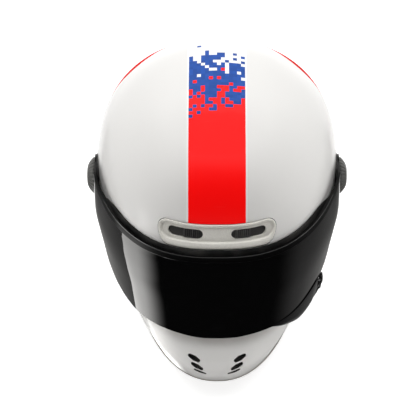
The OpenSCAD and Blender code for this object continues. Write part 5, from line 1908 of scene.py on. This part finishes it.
@dataclass
class Studio:
    """The floor, the lights and the camera, in metres, and the cards that only glossy faces show."""

    target: tuple[float, float, float] = (0.0, 0.008, 0.150)
    elevation: float = 50.0
    distance: float = 2.3
    lens: float = 191.2
    shift: tuple[float, float] = (-7 / 420, -35 / 420)
    floor_half: float = 14.0
    floor_tone: float = 0.62
    floor_glow: float = 0.8
    panel_glow: float = 0.8
    panel_at: tuple[float, float, float] = (0.0, 2.2, 1.9)
    panel_half: tuple[float, float] = (2.2, 1.35)
    apron_y: float = -0.106
    apron_dark: float = 0.02
    fan: float = 5.0
    behind_right: float = 0.38
    left_glow: float = 0.30
    sky_dim: float = 0.06
    warm: Colour = (1.0, 0.955, 0.905)

    def aim(self, obj: bpy.types.Object, place: Vector) -> None:
        """Puts a lamp or camera at a place and turns it to the object."""
        obj.location = place
        obj.rotation_euler = (Vector(self.target) - place).to_track_quat("-Z", "Y").to_euler()

    def camera(self) -> None:
        """Places the camera as the photograph's was."""
        data = bpy.data.cameras.new("camera")
        data.lens, data.sensor_width = self.lens, 36.0
        data.shift_x, data.shift_y = self.shift
        data.clip_start, data.clip_end = 0.05, 60.0
        e = math.radians(self.elevation)
        bpy.context.scene.camera = linked("camera", data)
        back = Vector((0.0, -math.cos(e), math.sin(e)))
        self.aim(bpy.context.scene.camera, Vector(self.target) + back * self.distance)

    def stand(self, name: str, form: Form, material: str,
              look: Callable[[Graph], dict[str, Source]]) -> bpy.types.Object:
        """Sets up a floor or card.

        Args:
            name: its name.
            form: its form in millimetres.
            material: its material's name.
            look: writes its nodes and returns the values of its shader's inputs.

        Returns:
            The object.
        """
        made, graph, shader = new_material(material)
        graph.fill(shader, {"Specular IOR Level": 0.0, **look(graph)})
        obj = linked(name, mesh_of(name, form), [made])
        return obj

    def floor(self) -> None:
        """Lays a large pale floor."""
        half = self.floor_half / MM
        corners = [np.array([x * half, y * half, -0.2]) for x, y in ((-1, -1), (1, -1), (1, 1), (-1, 1))]
        self.stand("floor", Form(corners, [(0, 1, 2, 3)], [0]), "floor_white", lambda graph: {
            "Base Color": (*[self.floor_tone] * 3, 1.0), "Roughness": 1.0, "Emission Color": (1.0, 1.0, 1.0, 1.0),
            "Emission Strength": graph.seen() * self.floor_glow})

    def lamp(self, name: str, place: tuple[float, float, float], size: tuple[float, float], power: float) -> None:
        """Hangs a rectangular lamp that shines at the object, unseen in glossy faces.

        Args:
            name: the lamp's name.
            place: where it hangs, in metres.
            size: its width and height.
            power: its power in watts.
        """
        data = bpy.data.lights.new(name, "AREA")
        data.shape, data.size, data.size_y, data.energy = "RECTANGLE", *size, power
        obj = linked(name, data)
        self.aim(obj, Vector(place))
        obj.visible_glossy = obj.visible_camera = False

    def card(self, name: str, form: Form, glow: Callable[[Graph], Source]) -> None:
        """Sets up a card that only glossy faces show, as bright as the nodes that glow writes."""
        obj = self.stand(name, form, name, lambda graph: {
            "Base Color": (0.0, 0.0, 0.0, 1.0), "Emission Color": (1.0, 0.99, 0.97, 1.0),
            "Emission Strength": glow(graph)})
        obj.visible_camera = obj.visible_diffuse = obj.visible_transmission = obj.visible_shadow = False

    def apron(self) -> Form:
        """Dark card that lies round the front of the object and stands up at its far edge."""
        angles = np.radians(np.linspace(-135, 135, 109))
        rings = ((10.0, -0.1), (300.0, -0.1), (700.0, -0.1), (1300.0, -0.1), (1300.0, 260.0), (1300.0, 560.0))
        points = np.stack([xyz(r * np.sin(angles), self.apron_y / MM - r * np.cos(angles), z) for r, z in rings], 1)
        n, m = points.shape[:2]
        faces = [(j * m + i, (j + 1) * m + i, (j + 1) * m + i + 1, j * m + i + 1) for j in range(n - 1)
                 for i in range(m - 1) if i < 3 or abs(math.degrees(angles[j])) < 75]
        return Form(list(points.reshape(-1, 3)), faces, [0] * len(faces))

    def apron_glow(self, graph: Graph) -> Wire:
        """Brightness of the apron: a bright fan to the wearer's right, a dim one to their left, dark between."""
        x, y, _ = graph.parts(graph.place())
        angle = graph.math("ARCTAN2", abs(x), self.apron_y - y)
        fan = graph.ramp(angle, math.radians(43), math.radians(72), self.apron_dark, self.fan)
        right = graph.blend(angle > math.radians(90), fan, self.behind_right)
        left = graph.ramp(angle, math.radians(45), math.radians(80), self.apron_dark, self.left_glow)
        return graph.blend(x > 0.0, right, left)

    def panel(self) -> Form:
        """The face of the panel behind the object, as glossy faces show it."""
        place = np.array(self.panel_at) / MM
        out = np.array(self.target) / MM - place
        up = np.cross(out / np.linalg.norm(out), np.array([-1.0, 0.0, 0.0]))
        half_x, half_z = np.array(self.panel_half) / MM
        corners = [place + x * half_x * np.array([1.0, 0.0, 0.0]) + z * half_z * up
                   for x, z in ((-1, -1), (1, -1), (1, 1), (-1, 1))]
        return Form(corners, [(0, 1, 2, 3)], [0])

    def sky(self) -> None:
        """Sets the light all round, which is dim over the object and white behind it."""
        world = bpy.data.worlds.new("light_all_round")
        world.use_nodes = True
        graph = Graph(world.node_tree)
        seen = graph.seen()
        _, _, up = graph.parts(graph.out("Generated", "TexCoord"))
        graph.fill(world.node_tree.nodes["Background"], {
            "Strength": graph.blend(seen, self.sky_dim, graph.ramp(up, 0.17, 0.64, 1.0, 0.12)),
            "Color": graph.mix(seen, self.warm, (1.0, 1.0, 1.0))})
        bpy.context.scene.world = world

    def build(self) -> None:
        """Makes the floor, the lights and the camera."""
        self.camera()
        self.floor()
        self.lamp("panel_above", (0.0, 1.0, 2.6), (4.4, 3.4), 130.0)
        for side in Side:
            self.lamp(f"flank_{side.label}", (side.value * 1.0, -0.38, 0.03), (0.9, 0.1), 3.2)
            self.lamp(f"chin_{side.label}", (side.value * 0.28, -0.36, 0.01), (0.15, 0.03), 0.26)
        self.card("panel_face", self.panel(), lambda graph: self.panel_glow)
        self.card("apron", self.apron(), self.apron_glow)
        self.sky()
        bpy.context.scene.view_settings.view_transform = "Standard"


def main() -> None:
    """Builds the helmet and its studio."""
    logging.basicConfig(level=logging.INFO, format="%(name)s: %(message)s")
    Studio().build()
    shop = Workshop()
    shell, visor = Shell(shop), Visor(shop)
    for part in (shell, visor, Latch(shop, visor), Hubs(shop), ForeheadVent(shop), ChinVents(shop, shell),
                 Padding(shop), ChinStrap(shop), Outlets(shop, shell)):
        part.build()
    LOG.info("%d pieces and dressed nodes", len(shop.made))


if __name__ == "__main__":
    main()
